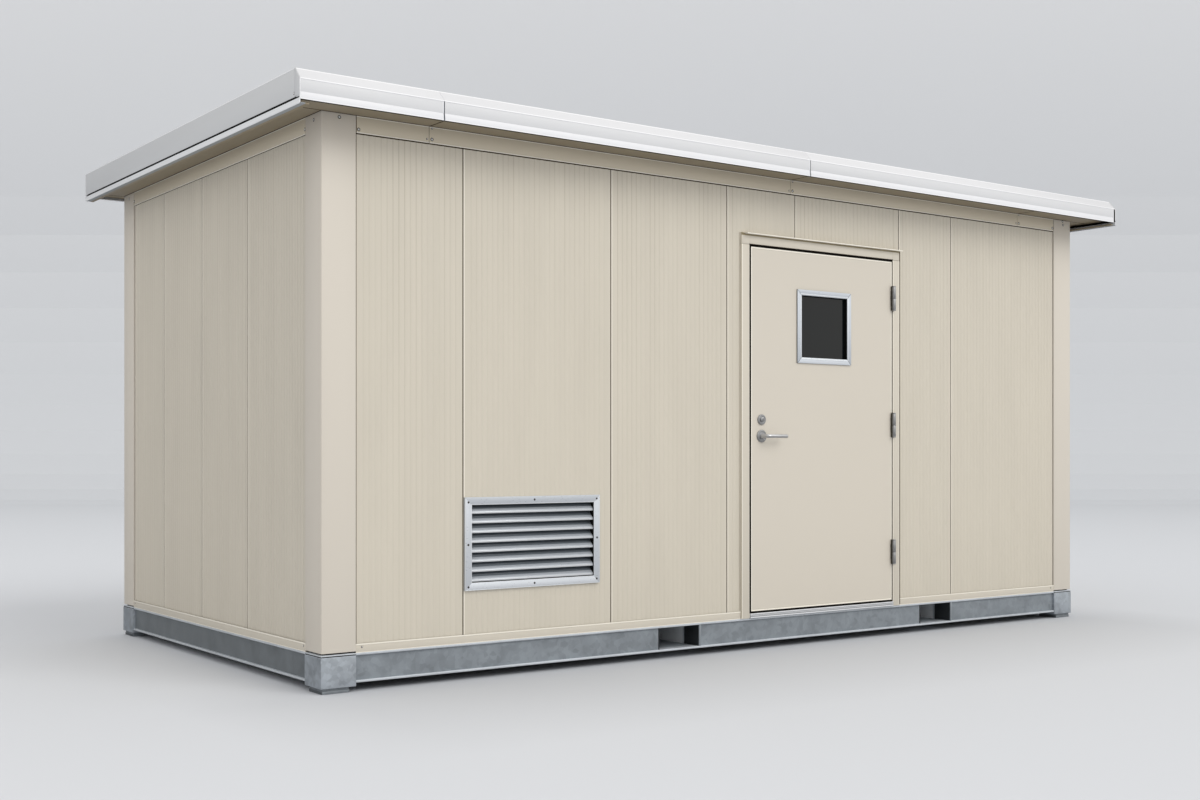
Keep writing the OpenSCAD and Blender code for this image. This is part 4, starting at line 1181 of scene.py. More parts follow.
def top_trims():
    """Trim under the roof in a paint darkened as the shade of the eaves, with folded edges in a
    painted highlight, its splices and painted shadow below and beside it.
    """
    strips, hems, shadow_strips = Shape(), Shape(), Shape()
    for whole_low, whole_high in solids("top_trims"):
        axis = outward(whole_low, whole_high)[0]
        along, under = 1 - axis, TRIM_SHADOW_UNDER if axis == 1 else SIDE_TRIM_SHADOW_UNDER
        proud_box(shadow_strips, whole_low, whole_high, whole_low.z - under, whole_high.z, -TRIM_SHADOW_BACK)
        proud_box(shadow_strips, whole_low, whole_high, whole_low.z, whole_high.z, -TRIM_SHADOW_FLUSH)
        low, high = whole_low.copy(), whole_high.copy()
        low[along] += POST_GAP
        high[along] -= POST_GAP
        for low, high in trim_lengths(low, high):
            strips.box(low, high)
            proud_box(hems, low, high, low.z, low.z + TOP_HEM, TOP_HEM_OUT)
            proud_box(hems, low, high, high.z - TOP_HEM, high.z - LAP, CROWN_HEM_OUT)
    strips.piece("top_trims_finished", EAVES_SHADED, "wall_paint",
                 stands_for=("top_trims",), bevel=0.8)
    hems.piece("top_trim_hems", HEM_HIGHLIGHT, "wall_paint", bevel=0.8)
    shadow_strips.piece("top_trim_shadows", BROWN_SEAL_AND_SHADOW, "dark_filler")


def screws(name, places, turn, material, radius):
    """Screw heads on dark sealing rings at the given places, all facing the same way."""
    for label, r, height, finish in (("_heads", radius * HEAD_SPREAD, SCREW_H, material),
                                     ("_rings", radius * RING_SPREAD, RING_H, SCREW_RING)):
        points = bpy.data.meshes.new("places")
        points.from_pydata(places, [], [])
        heads = grown(SCREW_TREE, {"Radius": float(r), "Height": height, "Turn": turn,
                                   "Material": finish}, points)
        Shape().mesh(heads).piece(name + label, finish, "stainless_steel")


def wall_screws():
    """Screws of the posts and trims on all four sides, the lesser ones smaller."""
    trim_x, trim_y = span("top_trims")[0].xy
    base_z = SKID_TOP + BASE_SCREW_UP
    front = [(90, 0, 2659), (BODY_L - 82, 0, 2671), (BODY_L - 77, 0, 2648),
             (189, trim_y, 2615), (BODY_L - 188, trim_y, 2617)]
    front_small = [(206, trim_y, base_z), (BODY_L - 206, trim_y, base_z)]
    for splice in TRIM_SPLICES:
        front.append((splice + 15, trim_y, 2617))
        front_small += [(splice + 15, trim_y, 2670), (splice - 12, trim_y, 2616)]
    left = [(0, 83, 2649), (0, BODY_W - 90, 2651),
            (trim_x, 182, 2623), (trim_x, BODY_W - 182, 2623)]
    left_small = [(trim_x, 198, base_z), (trim_x, BODY_W - 198, base_z)]
    for size, ahead, beside, radius in (("", front, left, SCREW_R),
                                        ("small_", front_small, left_small, SMALL_SCREW_R)):
        behind = [(BODY_L - x, BODY_W - y, z) for x, y, z in ahead]
        across = [(BODY_L - x, y, z) for x, y, z in beside]
        for side, places, turn in (("front", ahead, TO_FRONT), ("back", behind, TO_BACK),
                                   ("left", beside, TO_LEFT), ("right", across, TO_RIGHT)):
            screws("%s_%sscrews" % (side, size), places, turn, SCREW_STEEL, radius)


# ---------------------------------------------------------------- roof

SHEET_T = 3
# Front fascia: the tilted band leans out, the flashing rises and runs back to the flat top
BAND_OUT = 3
BAND_H = 33
SLOPE_RISE = 53
SLOPE_RUN = 49
FLAT_IN = 139
FASCIA_LIP = 22
# Depth of its folded edges, and how far the upright face ends below the flashing
FOLD = 4
FACE_SHORT = 2
# Joints of its three lengths: places, gap between faces and between flashings
FASCIA_SPLICES = (524, 2879)
FACE_GAP = 7
SLOPE_GAP = 0.8
# Return plate at its left end, slot at its right end with a dark block as painted shade, and the
# screw in the return
RETURN_W = 56
RETURN_UP = 18
END_SLOT = 16
FASCIA_SCREW = (3, -152, 2696)
FASCIA_SCREW_R = 4
# Upper edge of the side plates, in a painted highlight
CROWN_OUT = 1.2
CROWN_IN = 4
CROWN_H = 5
# Drip rails: height of the face, width of the underside, depth and ends of the slot above, which
# holds a dark strip as painted shade
RAIL_FACE = 26
UNDER_W = 30
RAIL_FOLD = 2.5
SLOT_BACK = 14
SLOT_SHORT = 40
# Dark lines on the soffit, painted shadow along the walls and seams at the splices: proud of it,
# along the walls, beside them and at the splices
SEAM_OUT = 0.8
SEAM_W = 4
SEAM_AT_SIDE = 3
SEAM_HALF = 3
# Strips that close the roof's troughs
CLOSURE_IN = 2
CLOSURE_T = 4
CLOSURE_LAP = 0.5


def front_fascia():
    """Front edge of the roof in three lengths: tilted band and sloped flashing lighter as painted
    light, upright face, folded edges as painted highlight, painted shade under it and at the splices.
    """
    low, high = span("front_fascia")
    y0, foot, top = low.y, low.z, high.z
    band_z, slope_z = foot + BAND_H, top - SLOPE_RISE
    face_y, fold_y = y0 + BAND_OUT, y0 + BAND_OUT + SLOPE_RUN
    inner_y = face_y + SHEET_T
    bands, faces, slopes, hems, shadow_strips, shades = (Shape() for _ in range(6))
    starts = [low.x, *FASCIA_SPLICES]
    ends = [*FASCIA_SPLICES, high.x]
    for i, (start, end) in enumerate(zip(starts, ends)):
        first, last = i == 0, i == len(starts) - 1
        a = start if first else start + FACE_GAP / 2
        b = end - END_SLOT if last else end - FACE_GAP / 2
        bands.prism([(y0, foot + FOLD), (y0 + SHEET_T, foot + SHEET_T), (inner_y, band_z),
                     (face_y, band_z)], a, b)
        faces.prism([(face_y, band_z), (inner_y, band_z), (inner_y, slope_z - FACE_SHORT),
                     (face_y, slope_z - FACE_SHORT)], a, b)
        # Dark strip under the fold: painted shade
        shades.box((a, y0 + FOLD, foot + 0.5), (b, y0 + FASCIA_LIP, foot + SHEET_T + 0.5))
        hems.box((a, y0, foot), (b, y0 + FOLD, foot + FOLD + LAP))
        hems.box((b - 5, face_y - 1.2, band_z + 1), (b, face_y + 1, slope_z - 5))
        c = start if first else start + SLOPE_GAP / 2
        d = end if last else end - SLOPE_GAP / 2
        slopes.prism([(face_y, slope_z - FOLD), (face_y, slope_z), (fold_y, top),
                      (y0 + FLAT_IN, top), (y0 + FLAT_IN, top - SHEET_T),
                      (fold_y + 1.5, top - SHEET_T), (inner_y, slope_z - FACE_SHORT),
                      (inner_y, slope_z - FOLD)], c, d)
        hems.prism([(y0 + 1, slope_z - FOLD), (face_y + 1, slope_z - FOLD),
                    (face_y + 3, slope_z + 2), (y0 + 2.4, slope_z + 1)], c, d)
        hems.prism([(fold_y - 5, top - 5), (fold_y - 2, top - 6), (fold_y + 3, top - 0.5),
                    (fold_y, top)], c, d)
        if not first:
            # Strips behind each splice: painted shade seen through the gap
            shadow_strips.box((start - FACE_GAP, inner_y, foot + SHEET_T),
                      (start + FACE_GAP, inner_y + 3, slope_z - 3))
            shadow_strips.box((start - FACE_GAP, y0 + SHEET_T, foot + 0.5),
                      (start + FACE_GAP, y0 + FASCIA_LIP, foot + SHEET_T))
    bands.piece("front_fascia_bands", ROOF_BAND_LIT, "roof_white", bevel=0.4)
    faces.piece("front_fascia_faces", ROOF_PAINT, "roof_white",
                stands_for=("front_fascia",), bevel=0.4)
    slopes.piece("front_fascia_slopes", ROOF_SLOPE_LIT, "roof_white", bevel=0.8)
    hems.piece("front_fascia_hems", ROOF_HEM_HIGHLIGHT, "roof_white", bevel=0.6)
    shadow_strips.piece("fascia_splice_shades", SPLICE_SHADE, "dark_filler")
    shades.piece("front_fascia_underside", SHADOW_GAP, "dark_filler")


def fascia_ends():
    """Return plate at the left end of the front fascia, and the slot at its right end with a dark
    block in it as painted shade.
    """
    low, high = span("front_fascia")
    drip_low, drip_high = span("side_drip_rails")
    y0, foot, top = low.y, low.z, high.z
    slope_z = top - SLOPE_RISE
    x0, right = drip_low.x, high.x
    returns, hems, dark = Shape(), Shape(), Shape()
    returns.prism([(y0 + 1, foot + RETURN_UP), (y0 + RETURN_W, foot + RETURN_UP),
                   (y0 + RETURN_W, top - 1), (y0 + SLOPE_RUN + BAND_OUT, top - 1),
                   (y0 + 1, slope_z)], x0 + 1.4, x0 + 4.2)
    hems.prism([(y0, foot + 2), (y0 + FOLD, foot + 2), (y0 + FOLD, slope_z + 3), (y0, slope_z - 2)],
               x0 + 2, x0 + 7)
    # Dark blocks in the slot: painted shade
    dark.box((right - END_SLOT + 1, y0 + 1.5, foot + 4), (right - 1, y0 + 12, slope_z - 3))
    dark.box((right - 2, y0 + 2.5, foot + 5), (drip_high.x - 1, y0 + 8, foot + 16))
    hems.box((right - END_SLOT - 4, y0 + 0.5, foot + 4), (right - END_SLOT, y0 + 6, slope_z - 4))
    hems.box((right - 0.5, y0 + 0.5, foot + 16), (drip_high.x - 0.5, y0 + 9, slope_z - 2))
    returns.piece("fascia_return", ROOF_SIDE_SHADED, "roof_white", bevel=0.5)
    hems.piece("fascia_end_hems", ROOF_HEM_HIGHLIGHT, "roof_white", bevel=0.8)
    dark.piece("fascia_end_slot_shade", RUBBER_AND_SHADE, "dark_filler")
    inward, along, up = FASCIA_SCREW
    screws("fascia_screw", [(x0 + inward, along, up)], TO_LEFT, SCREW_STEEL, FASCIA_SCREW_R)


def side_fascias():
    """Side plates of the roof edge, darker as painted shade, with a painted highlight on the upper
    edge.
    """
    hems = Shape()
    for node in ("left_fascia", "right_fascia"):
        dressed(node, ROOF_SIDE_SHADED, "roof_white", 1)
        low, high = span(node)
        outer, step = (low.x, -1) if node == "left_fascia" else (high.x, 1)
        x0, x1 = sorted((outer + step * CROWN_OUT, outer - step * CROWN_IN))
        hems.box((x0, low.y + RETURN_W, high.z - CROWN_H), (x1, high.y, high.z))
    hems.piece("side_fascia_hems", ROOF_HEM_HIGHLIGHT, "roof_white", bevel=1)


def drip_rails():
    """Drip rails under the side plates: folded face, grey underside and darker lining as painted
    shade, and a dark strip in the slot above as painted shade.
    """
    faces, unders, slots, linings = Shape(), Shape(), Shape(), Shape()
    for low, high in solids("side_drip_rails"):
        sign = 1 if low.x < BODY_L / 2 else -1
        edge = low.x if sign > 0 else high.x
        far = abs(high.x - low.x)

        def at(inward):
            """Place across the rail, counted from its outer face."""
            return edge + sign * inward

        z0, z1 = low.z, high.z
        top = z0 + RAIL_FACE
        inner = SHEET_T + 2
        start, end = low.y + 2, high.y - 2
        faces.prism([(at(0), z0 + 2), (at(RAIL_FOLD), z0), (at(RAIL_FOLD), z0 + 5),
                     (at(inner), z0 + 5), (at(inner), top - 1), (at(inner - 1), top), (at(0), top),
                     (at(0), top - 4), (at(1.2), top - 5), (at(1.2), z0 + 12), (at(0), z0 + 11)],
                    low.y, high.y, "y")
        unders.prism([(at(inner), z0 + 3), (at(UNDER_W), z0 + 2), (at(UNDER_W), z0 + 6),
                      (at(inner), z0 + 6)], start, end, "y")
        linings.prism([(at(UNDER_W), z0 + 2), (at(far), z0), (at(far), z0 + 9),
                       (at(far - 3), z0 + 9), (at(far - 3), z0 + 5), (at(UNDER_W), z0 + 6)],
                      start, end, "y")
        # Dark strips in the slot above the face and in the fold below: painted shade
        x0, x1 = sorted((at(RAIL_FOLD), at(SLOT_BACK)))
        slots.box((x0, low.y + SLOT_SHORT, top - LAP), (x1, high.y - SLOT_SHORT, z1))
        x0, x1 = sorted((at(RAIL_FOLD), at(inner)))
        slots.box((x0, start, z0 + 2), (x1, end, z0 + 4))
    faces.piece("drip_rail_faces", ROOF_RAIL_LIT, "roof_white",
                stands_for=("side_drip_rails",), bevel=0.6)
    unders.piece("drip_rail_undersides", RAIL_UNDER_SHADED, "roof_white", bevel=0.6)
    linings.piece("drip_rail_linings", SOFFIT_SHADED, "roof_white", bevel=0.6)
    slots.piece("drip_rail_slot_shades", RUBBER_AND_SHADE, "dark_filler")


def soffit():
    """Soffit sheets in a paint darkened as painted shade, with dark seams between them and painted
    shadow along the walls.
    """
    dressed("soffit_sheets", SOFFIT_SHADED, "wall_paint", 0)
    low, high = span("soffit_sheets")
    z0, z1 = low.z - SEAM_OUT, low.z + LAP
    seams = Shape()
    seams.box((low.x, -SEAM_W, z0), (high.x, 0, z1))
    seams.box((low.x, BODY_W, z0), (high.x, BODY_W + SEAM_W, z1))
    for splice in TRIM_SPLICES:
        seams.box((splice - SEAM_HALF, low.y, z0), (splice + SEAM_HALF, 0, z1))
    for x in (-SEAM_AT_SIDE, BODY_L + SEAM_AT_SIDE - SEAM_W):
        seams.box((x, 0, z0), (x + SEAM_W, BODY_W, z1))
    seams.piece("soffit_seams_and_shadows", SEAM_AND_SHADOW, "dark_filler")


def roof_closures():
    """Filler strips that close the troughs between the ribs under the flat edges of the roof."""
    low, high = span("roof_deck")
    top = span("roof_ribs")[1].z + CLOSURE_LAP
    front = span("front_fascia")[0].y + FLAT_IN
    back = span("back_fascia")[1].y - FLAT_IN
    strips = Shape()
    for y in (front - CLOSURE_IN - CLOSURE_T, back + CLOSURE_IN):
        strips.box((low.x, y, high.z - CLOSURE_LAP), (high.x, y + CLOSURE_T, top))
    strips.piece("roof_closures", ROOF_SIDE_SHADED, "roof_white")


def roof():
    """Roof deck, ribs, soffit, fascias and drip rails."""
    kept("roof_core", SOFFIT_SHADED)
    kept("roof_deck", ROOF_PAINT)
    dressed("roof_ribs", ROOF_PAINT, "roof_white", 1)
    roof_closures()
    soffit()
    front_fascia()
    fascia_ends()
    dressed("back_fascia", ROOF_PAINT, "roof_white", 1)
    side_fascias()
    drip_rails()


# ---------------------------------------------------------------- doorway

FRAME_W = 64
FRAME_HEM = 5
FRAME_HEM_OUT = 1
FRAME_HEM_IN = 3
BUTT_GAP = 1.5
# Stop behind the leaf: gap to the leaf, reach past the jambs, and drop below the leaf's top
STOP_GAP = 6
STOP_REACH = 23
STOP_DROP = 15
# Sealing joint round the frame, darkened as painted shadow along its edges and under the hood: width
# beside it, at its left edge and under the hood
LINE_W = 7
LEFT_LINE = 2
HOOD_LINE = 7
LINE_OUT = 0.4
LINE_UP = 6
# Seals round the leaf, and painted shadow filling the gap: width, how far they lap the frame's face,
# and their depth
SEAL_T = 2.5
SEAL_LIP = 3.5
SEAL_OUT = 1.4
SEAL_FRONT = 1.5
HINGE_SIDE_BACK = 16
# Hood: height of its lip, and where it starts
HOOD_LIP = 8
HOOD_START = 27
# Sill: its ribs and the edges along its front, in a painted highlight
SILL_RIBS = 4
SILL_RIB_W = 5
SILL_RIB_STEP = 10.5
SILL_RIB_IN = 10
SILL_TOP = 3
SILL_NOSE = 5
SILL_EDGE_IN = 1
SILL_EDGE_T = 3
# Leaf: painted shadow of the gap on its edges, then a folded edge in a painted highlight with a fine
# line inside it
EDGE_T = 0.4
EDGE_BACK = 1.5
EDGE_IN = 1
EDGE_LIP = 3.5
FOOT_LIP = 5
RIM_W = 8
RIM_OUT = 0.8
RIM_LINE = 2.4
RIM_LINE_OUT = 0.25
# Vision panel: bars, beads in a painted highlight, the gaps at their corners, and how far each stands
# out
VISION_BAR = 33
MITRE_GAP = 3
BAR_SPAN = (5.4, 8)
BEAD_SPAN = (5, 9.2)
BEAD_W = 9
BEAD_BACK = 11
GASKET_OUT = 5.6
GASKET_IN = 0.6
SLEEVE_W = 4
# Where the middle point of a turned form's softened end lies, as a share of the softening
SOFTNESS = 0.3
# Hinges: barrel, its caps, the groove under each cap and the ring where the halves meet
BARREL_R = 12.5
BARREL_H = 149
HALF_H = 74.75
CAP_H = 5
CAP_SLOT = 1.5
NECK_IN = 1.6
RING_T = 1.5
RING_OUT = 0.4
# Thin dark plates beside the upper barrels, as painted shade on their left
WING_T = 0.8
WING_SHORT = 30
# Lever: bar, its bend, and the neck as (radius, distance from the leaf)
BAR_R = 11
BEND_R = 20
BEND_STEPS = 8
BAR_TIP = 0.86
NECK = ((16.5, 8), (16, 13), (13.5, 18), (12, 24), (BAR_R, 30))
NECK_BACK = 26
SPINDLE = 4
# Roses of the lever and the lock: radius, and the steps as (cut from the radius, distance)
LEVER_ROSE_R = 35.5
LOCK_ROSE_R = 30
ROSE_STEPS = ((0, 0), (0, 5), (1.5, 7), (5, 7.6), (6, 9), (8.5, 9), (10, 7.4))
ROSE_BORE = 10
# Lock cylinder: softened ends as (radius, distance from the end), and its keyway, a dark block as
# painted shade
CYLINDER_END = ((12.4, 0), (13.6, 0.6), (14, 2))
KEY_HALF = 1.3
KEY_R = 3
KEY_DOWN = 8
KEY_OUT = 0.4
FINE_SIDES = 40


def jamb_outline(edge, step, stop_y, frame_y, wall_in):
    """Plan of a jamb from its outer edge, with the stop behind the leaf."""
    stop_x = FRAME_W + STOP_REACH
    plan = [(0, frame_y), (FRAME_W, frame_y), (FRAME_W, stop_y), (stop_x, stop_y),
            (stop_x, wall_in), (0, wall_in)]
    return [(edge + step * x, y) for x, y in plan]


def door_frame():
    """Jambs and head with folded edges in a painted highlight, and butt joints."""
    low, high = span("door_frame")
    leaf_high = span("door_leaf")[1]
    stop_y, stop_z = leaf_high.y + STOP_GAP, leaf_high.z - STOP_DROP
    head_z = high.z - FRAME_W
    jamb_top, head_foot = head_z - BUTT_GAP / 2, head_z + BUTT_GAP / 2
    y0 = low.y
    hem_y0, hem_y1 = y0 - FRAME_HEM_OUT, y0 + FRAME_HEM_IN
    bars, hems = Shape(), Shape()
    for edge, step in ((low.x, 1), (high.x, -1)):
        bars.prism(jamb_outline(edge, step, stop_y, y0, high.y), low.z, jamb_top, "z")
        for inset in (LINE_W, FRAME_W - FRAME_HEM):
            a, b = sorted((edge + step * inset, edge + step * (inset + FRAME_HEM)))
            hems.box((a, hem_y0, low.z + 2), (b, hem_y1, jamb_top))
    bars.prism([(y0, head_foot), (stop_y, head_foot), (stop_y, stop_z), (high.y, stop_z),
                (high.y, high.z), (y0, high.z)], low.x + FRAME_W, high.x - FRAME_W)
    for a, b in ((low.x, low.x + FRAME_W), (high.x - FRAME_W, high.x)):
        bars.box((a, y0, head_foot), (b, high.y, high.z))
    hems.box((low.x + FRAME_W, hem_y0, head_z + 0.5), (high.x - FRAME_W, hem_y1, head_z + 4))
    bars.piece("door_frame_bars", PAINT, "wall_paint", stands_for=("door_frame",), bevel=1.2)
    hems.piece("door_frame_hems", HEM_HIGHLIGHT, "wall_paint", bevel=1.2)


def frame_lines():
    """Sealing joint along the top and sides of the door frame, darkened as painted shadow along the
    frame and under the hood.
    """
    low, high = span("door_frame")
    y0, y1 = low.y - LINE_OUT, low.y + LAP
    lip_z = high.z - HOOD_LIP
    lines, right = Shape(), Shape()
    lines.box((low.x + 3, y0, lip_z - HOOD_LINE), (high.x - 3, y1, lip_z + LAP))
    lines.box((low.x, y0, lip_z), (low.x + HOOD_START, y1, high.z - 1))
    lines.box((low.x, y0, low.z + LINE_UP), (low.x + LEFT_LINE, y1, high.z - LINE_W))
    right.box((high.x - LINE_W, y0, low.z + LINE_UP), (high.x, y1, high.z - LINE_W))
    lines.piece("door_frame_lines", OLIVE_SEAL_AND_SHADOW, "dark_filler")
    right.piece("door_frame_right_line", BROWN_SEAL_AND_SHADOW, "dark_filler")


def frame_seal_and_shadow():
    """Dark strips round the leaf, along the stop and on the sill: the seal, and painted shadow
    filling the gap and lapping the frame's face.
    """
    low, high = span("door_frame")
    leaf_high = span("door_leaf")[1]
    sill_z = span("door_sill")[1].z
    stop_y, stop_z = leaf_high.y + STOP_GAP, leaf_high.z - STOP_DROP
    head_z = high.z - FRAME_W
    front, lip_y = low.y + SEAL_FRONT, low.y - SEAL_OUT
    back = front + HINGE_SIDE_BACK
    left, right = low.x + FRAME_W, high.x - FRAME_W
    seal_and_shadow, hinge_gap_shadow = Shape(), Shape()
    seal_and_shadow.box((left - LAP, front, sill_z), (left + SEAL_T, stop_y, head_z))
    seal_and_shadow.box((left - SEAL_LIP, lip_y, sill_z), (left + LAP, front + LAP, head_z))
    seal_and_shadow.box((right - SEAL_T, back, sill_z), (right + LAP, stop_y, head_z))
    seal_and_shadow.box((left, front, head_z - SEAL_T), (right, stop_y, head_z + LAP))
    seal_and_shadow.box((left - SEAL_LIP, lip_y, head_z - LAP), (right, front + LAP, head_z + SEAL_LIP))
    seal_and_shadow.box((left, front + 2, sill_z - LAP), (right, stop_y, sill_z + LAP))
    reach = STOP_REACH - LAP
    for a, b in ((left, left + reach), (right - reach, right)):
        seal_and_shadow.box((a, stop_y - LAP, sill_z), (b, stop_y + LAP, head_z))
    seal_and_shadow.box((left, stop_y - LAP, stop_z + LAP), (right, stop_y + LAP, head_z))
    seal_and_shadow.piece("door_seal_and_gap_shadow", SEAL_AND_GAP_SHADOW, "dark_filler")
    # Brown strip in the gap on the hinge side: painted shadow
    hinge_gap_shadow.box((right - 0.8, low.y + 3, sill_z), (right + LAP, back + LAP, head_z))
    hinge_gap_shadow.piece("door_hinge_side_shadow", BROWN_SEAL_AND_SHADOW, "dark_filler")


def leaf_gap_shadows():
    """Painted shadow of the gap on the leaf's free edge, top and foot, drawn a little way round its
    front.
    """
    low, high = span("door_leaf")
    x0, x1 = low.x + EDGE_IN, high.x - EDGE_IN
    y0, y1 = low.y - EDGE_T, high.y - EDGE_BACK
    gap_shadow = Shape()
    gap_shadow.box((low.x - EDGE_T, y0, low.z + EDGE_IN), (low.x + EDGE_LIP, y1, high.z - EDGE_IN))
    gap_shadow.box((x0, y0, high.z - EDGE_LIP), (x1, y1, high.z + EDGE_T))
    gap_shadow.box((x0, y0, low.z - EDGE_T), (x1, y1, low.z + FOOT_LIP))
    gap_shadow.piece("door_leaf_gap_shadow", SEAL_AND_GAP_SHADOW, "dark_filler", "door")


def door_hood():
    """Thin drip hood over the door with a folded front lip, all in a painted highlight."""
    low, high = span("door_hood")
    hood = Shape()
    back, front, top = high.y, low.y, high.z
    outline = [(back, top), (front + 1.5, top - 1.5), (front, top - 3), (front, top - HOOD_LIP),
               (front + 2, top - HOOD_LIP), (front + 2, top - 5), (back, top - 4.5)]
    hood.prism(outline, low.x + HOOD_START, high.x)
    hood.piece("door_hood_finished", HEM_HIGHLIGHT, "wall_paint", stands_for=("door_hood",), bevel=0.5)


def door_sill():
    """Metal sill with ribs along its top and edges along its front in a painted highlight."""
    low, high = span("door_sill")
    shape, edges = Shape(), Shape()
    for a, b in solids("door_sill"):
        shape.box(a, (b.x, b.y, b.z - SILL_TOP))
    shape.box((low.x, low.y, high.z - SILL_NOSE), (high.x, low.y + SILL_NOSE, high.z))
    x0, x1 = low.x + SILL_EDGE_IN, high.x - SILL_EDGE_IN
    for out, foot, top in ((0.4, high.z - 6, high.z - 0.5), (0.4, low.z + 1, low.z + 7),
                           (0.2, low.z + 13, low.z + 15)):
        edges.box((x0, low.y - out, foot), (x1, low.y + SILL_EDGE_T, top))
    shape.piece("door_sill_body", SILL_METAL, "aluminium", stands_for=("door_sill",), bevel=1)
    edges.piece("door_sill_edges", SILL_HIGHLIGHT, "aluminium", bevel=0.3)
    rib_y = low.y + SILL_RIB_IN
    rib = Shape().box((x0, rib_y, high.z - SILL_TOP - LAP), (x1, rib_y + SILL_RIB_W, high.z))
    ribs = repeated(rib, SILL_RIBS, (0, SILL_RIB_STEP, 0), SILL_METAL)
    Shape().mesh(ribs).piece("door_sill_ribs", SILL_METAL, "aluminium")


def leaf_rim():
    """Folded edge round the front of the leaf in a painted highlight, inside the painted shadow on
    its edges.
    """
    low, high = span("door_leaf")
    rim, line = Shape(), Shape()
    x0, z0, z1 = low.x + EDGE_LIP, low.z + FOOT_LIP, high.z - EDGE_LIP
    rim.ring((x0, low.y - RIM_OUT, z0), (high.x, low.y + LAP, z1), RIM_W)
    rim.piece("door_leaf_rim", HEM_HIGHLIGHT, "wall_paint", "door", bevel=0.7)
    inset = RIM_W - LAP
    line.ring((x0 + inset, low.y - RIM_LINE_OUT, z0 + inset),
              (high.x - inset, low.y + LAP, z1 - inset), RIM_LINE)
    line.piece("door_leaf_line", LEAF_LINE, "wall_paint", "door")


def band_ring(shape, low, high, margin, ends, bar, mitre=0.0):
    """Ring standing a margin outside an opening, between two distances across the leaf."""
    near, far = sorted(ends)
    shape.ring((low.x - margin, near, low.z - margin), (high.x + margin, far, high.z + margin),
               bar, mitre)


def vision_panel():
    """Mitred bars on both faces of the leaf with lighter beads as painted highlight, their gaskets
    and sleeves, the gaskets deep enough that the bars' sides show dark as painted shadow, and the
    glass.
    """
    low, high = span("vision_frames")
    leaf_low, leaf_high = span("door_leaf")
    glass_low, glass_high = span("vision_glass")
    inner_low = low + Vector((VISION_BAR, 0, VISION_BAR))
    inner_high = high - Vector((VISION_BAR, 0, VISION_BAR))
    bars, beads, gaskets = Shape(), Shape(), Shape()
    for face, out, glass_y in ((leaf_low.y, -1, glass_low.y), (leaf_high.y, 1, glass_high.y)):
        bar_ends = [face + out * depth for depth in BAR_SPAN]
        bead_ends = [face + out * depth for depth in BEAD_SPAN]
        band_ring(bars, low, high, 0, bar_ends, VISION_BAR, MITRE_GAP)
        band_ring(beads, inner_low, inner_high, BEAD_BACK, bead_ends, BEAD_W, MITRE_GAP)
        # Gaskets under the bars, deep enough that the bars' sides show dark: painted shadow along the
        # frame
        band_ring(gaskets, low, high, -GASKET_IN, (face, face + out * GASKET_OUT), VISION_BAR - 1)
        band_ring(gaskets, inner_low, inner_high, 2, (face + out * 6, glass_y), SLEEVE_W)
    bars.piece("vision_frame_bars", ALUMINIUM, "aluminium", "door", ("vision_frames",), bevel=0.8)
    beads.piece("vision_frame_beads", ALUMINIUM_HIGHLIGHT, "aluminium", "door", bevel=1)
    gaskets.piece("vision_gaskets", RUBBER_AND_SHADE, "dark_filler", "door")
    dressed("vision_glass", GLASS, "glass", 0, "door")


def ring_profile(radius, start, end, edge):
    """Turned profile between two places with softened ends."""
    middle = edge * SOFTNESS
    return [(radius - edge, start), (radius - middle, start + middle), (radius, start + edge),
            (radius, end - edge), (radius - middle, end - middle), (radius - edge, end)]


def hinges():
    """Hinge barrels with end caps and a dark ring at the joint, their plates, and dark plates beside
    the upper barrels as painted shade.
    """
    lower, upper, rings, wings = Shape(), Shape(), Shape(), Shape()
    radius, neck = BARREL_R, BARREL_R - NECK_IN
    barrel = CAP_H + CAP_SLOT
    for low, high in solids("frame_hinges"):
        axis = (low.x + radius, low.y + radius, 0)
        top = low.z + HALF_H
        lower.turned([(neck, low.z + CAP_H), (neck, low.z + barrel)] +
                     ring_profile(radius, low.z + barrel, top - RING_T, 0.8), axis)
        lower.turned(ring_profile(radius, low.z, low.z + CAP_H, 1.5), axis)
        lower.box((high.x - 2.5, axis[1], low.z), (high.x, high.y, top))
        rings.turned(ring_profile(radius + RING_OUT, top - RING_T, top, 0.4), axis)
    leaf_face = span("door_leaf")[0].y
    for low, high in solids("leaf_hinges"):
        axis = (high.x - radius, low.y + radius, 0)
        upper.turned(ring_profile(radius, low.z, high.z - barrel, 0.8) +
                     [(neck, high.z - barrel), (neck, high.z - CAP_H)], axis)
        upper.turned(ring_profile(radius, high.z - CAP_H, high.z, 1.5), axis)
        upper.box((axis[0] - 4, axis[1], low.z), (axis[0] - 1.5, high.y, high.z))
        x0, foot = axis[0] - radius - 2 * WING_T, high.z - BARREL_H
        wings.box((x0, axis[1] - 1, foot), (x0 + WING_T, leaf_face - 3, high.z))
        wings.box((x0, leaf_face - 4, foot + WING_SHORT),
                  (x0 + WING_T, leaf_face + 0.5, high.z - WING_SHORT))
    lower.piece("hinge_lower_halves", STEEL, "stainless_steel", stands_for=("frame_hinges",))
    rings.piece("hinge_rings", DARK_STEEL, "stainless_steel")
    wings.piece("hinge_wing_shades", HINGE_SHADE, "dark_filler", "door")
    upper.piece("hinge_upper_halves", STEEL, "stainless_steel", "door", ("leaf_hinges",))


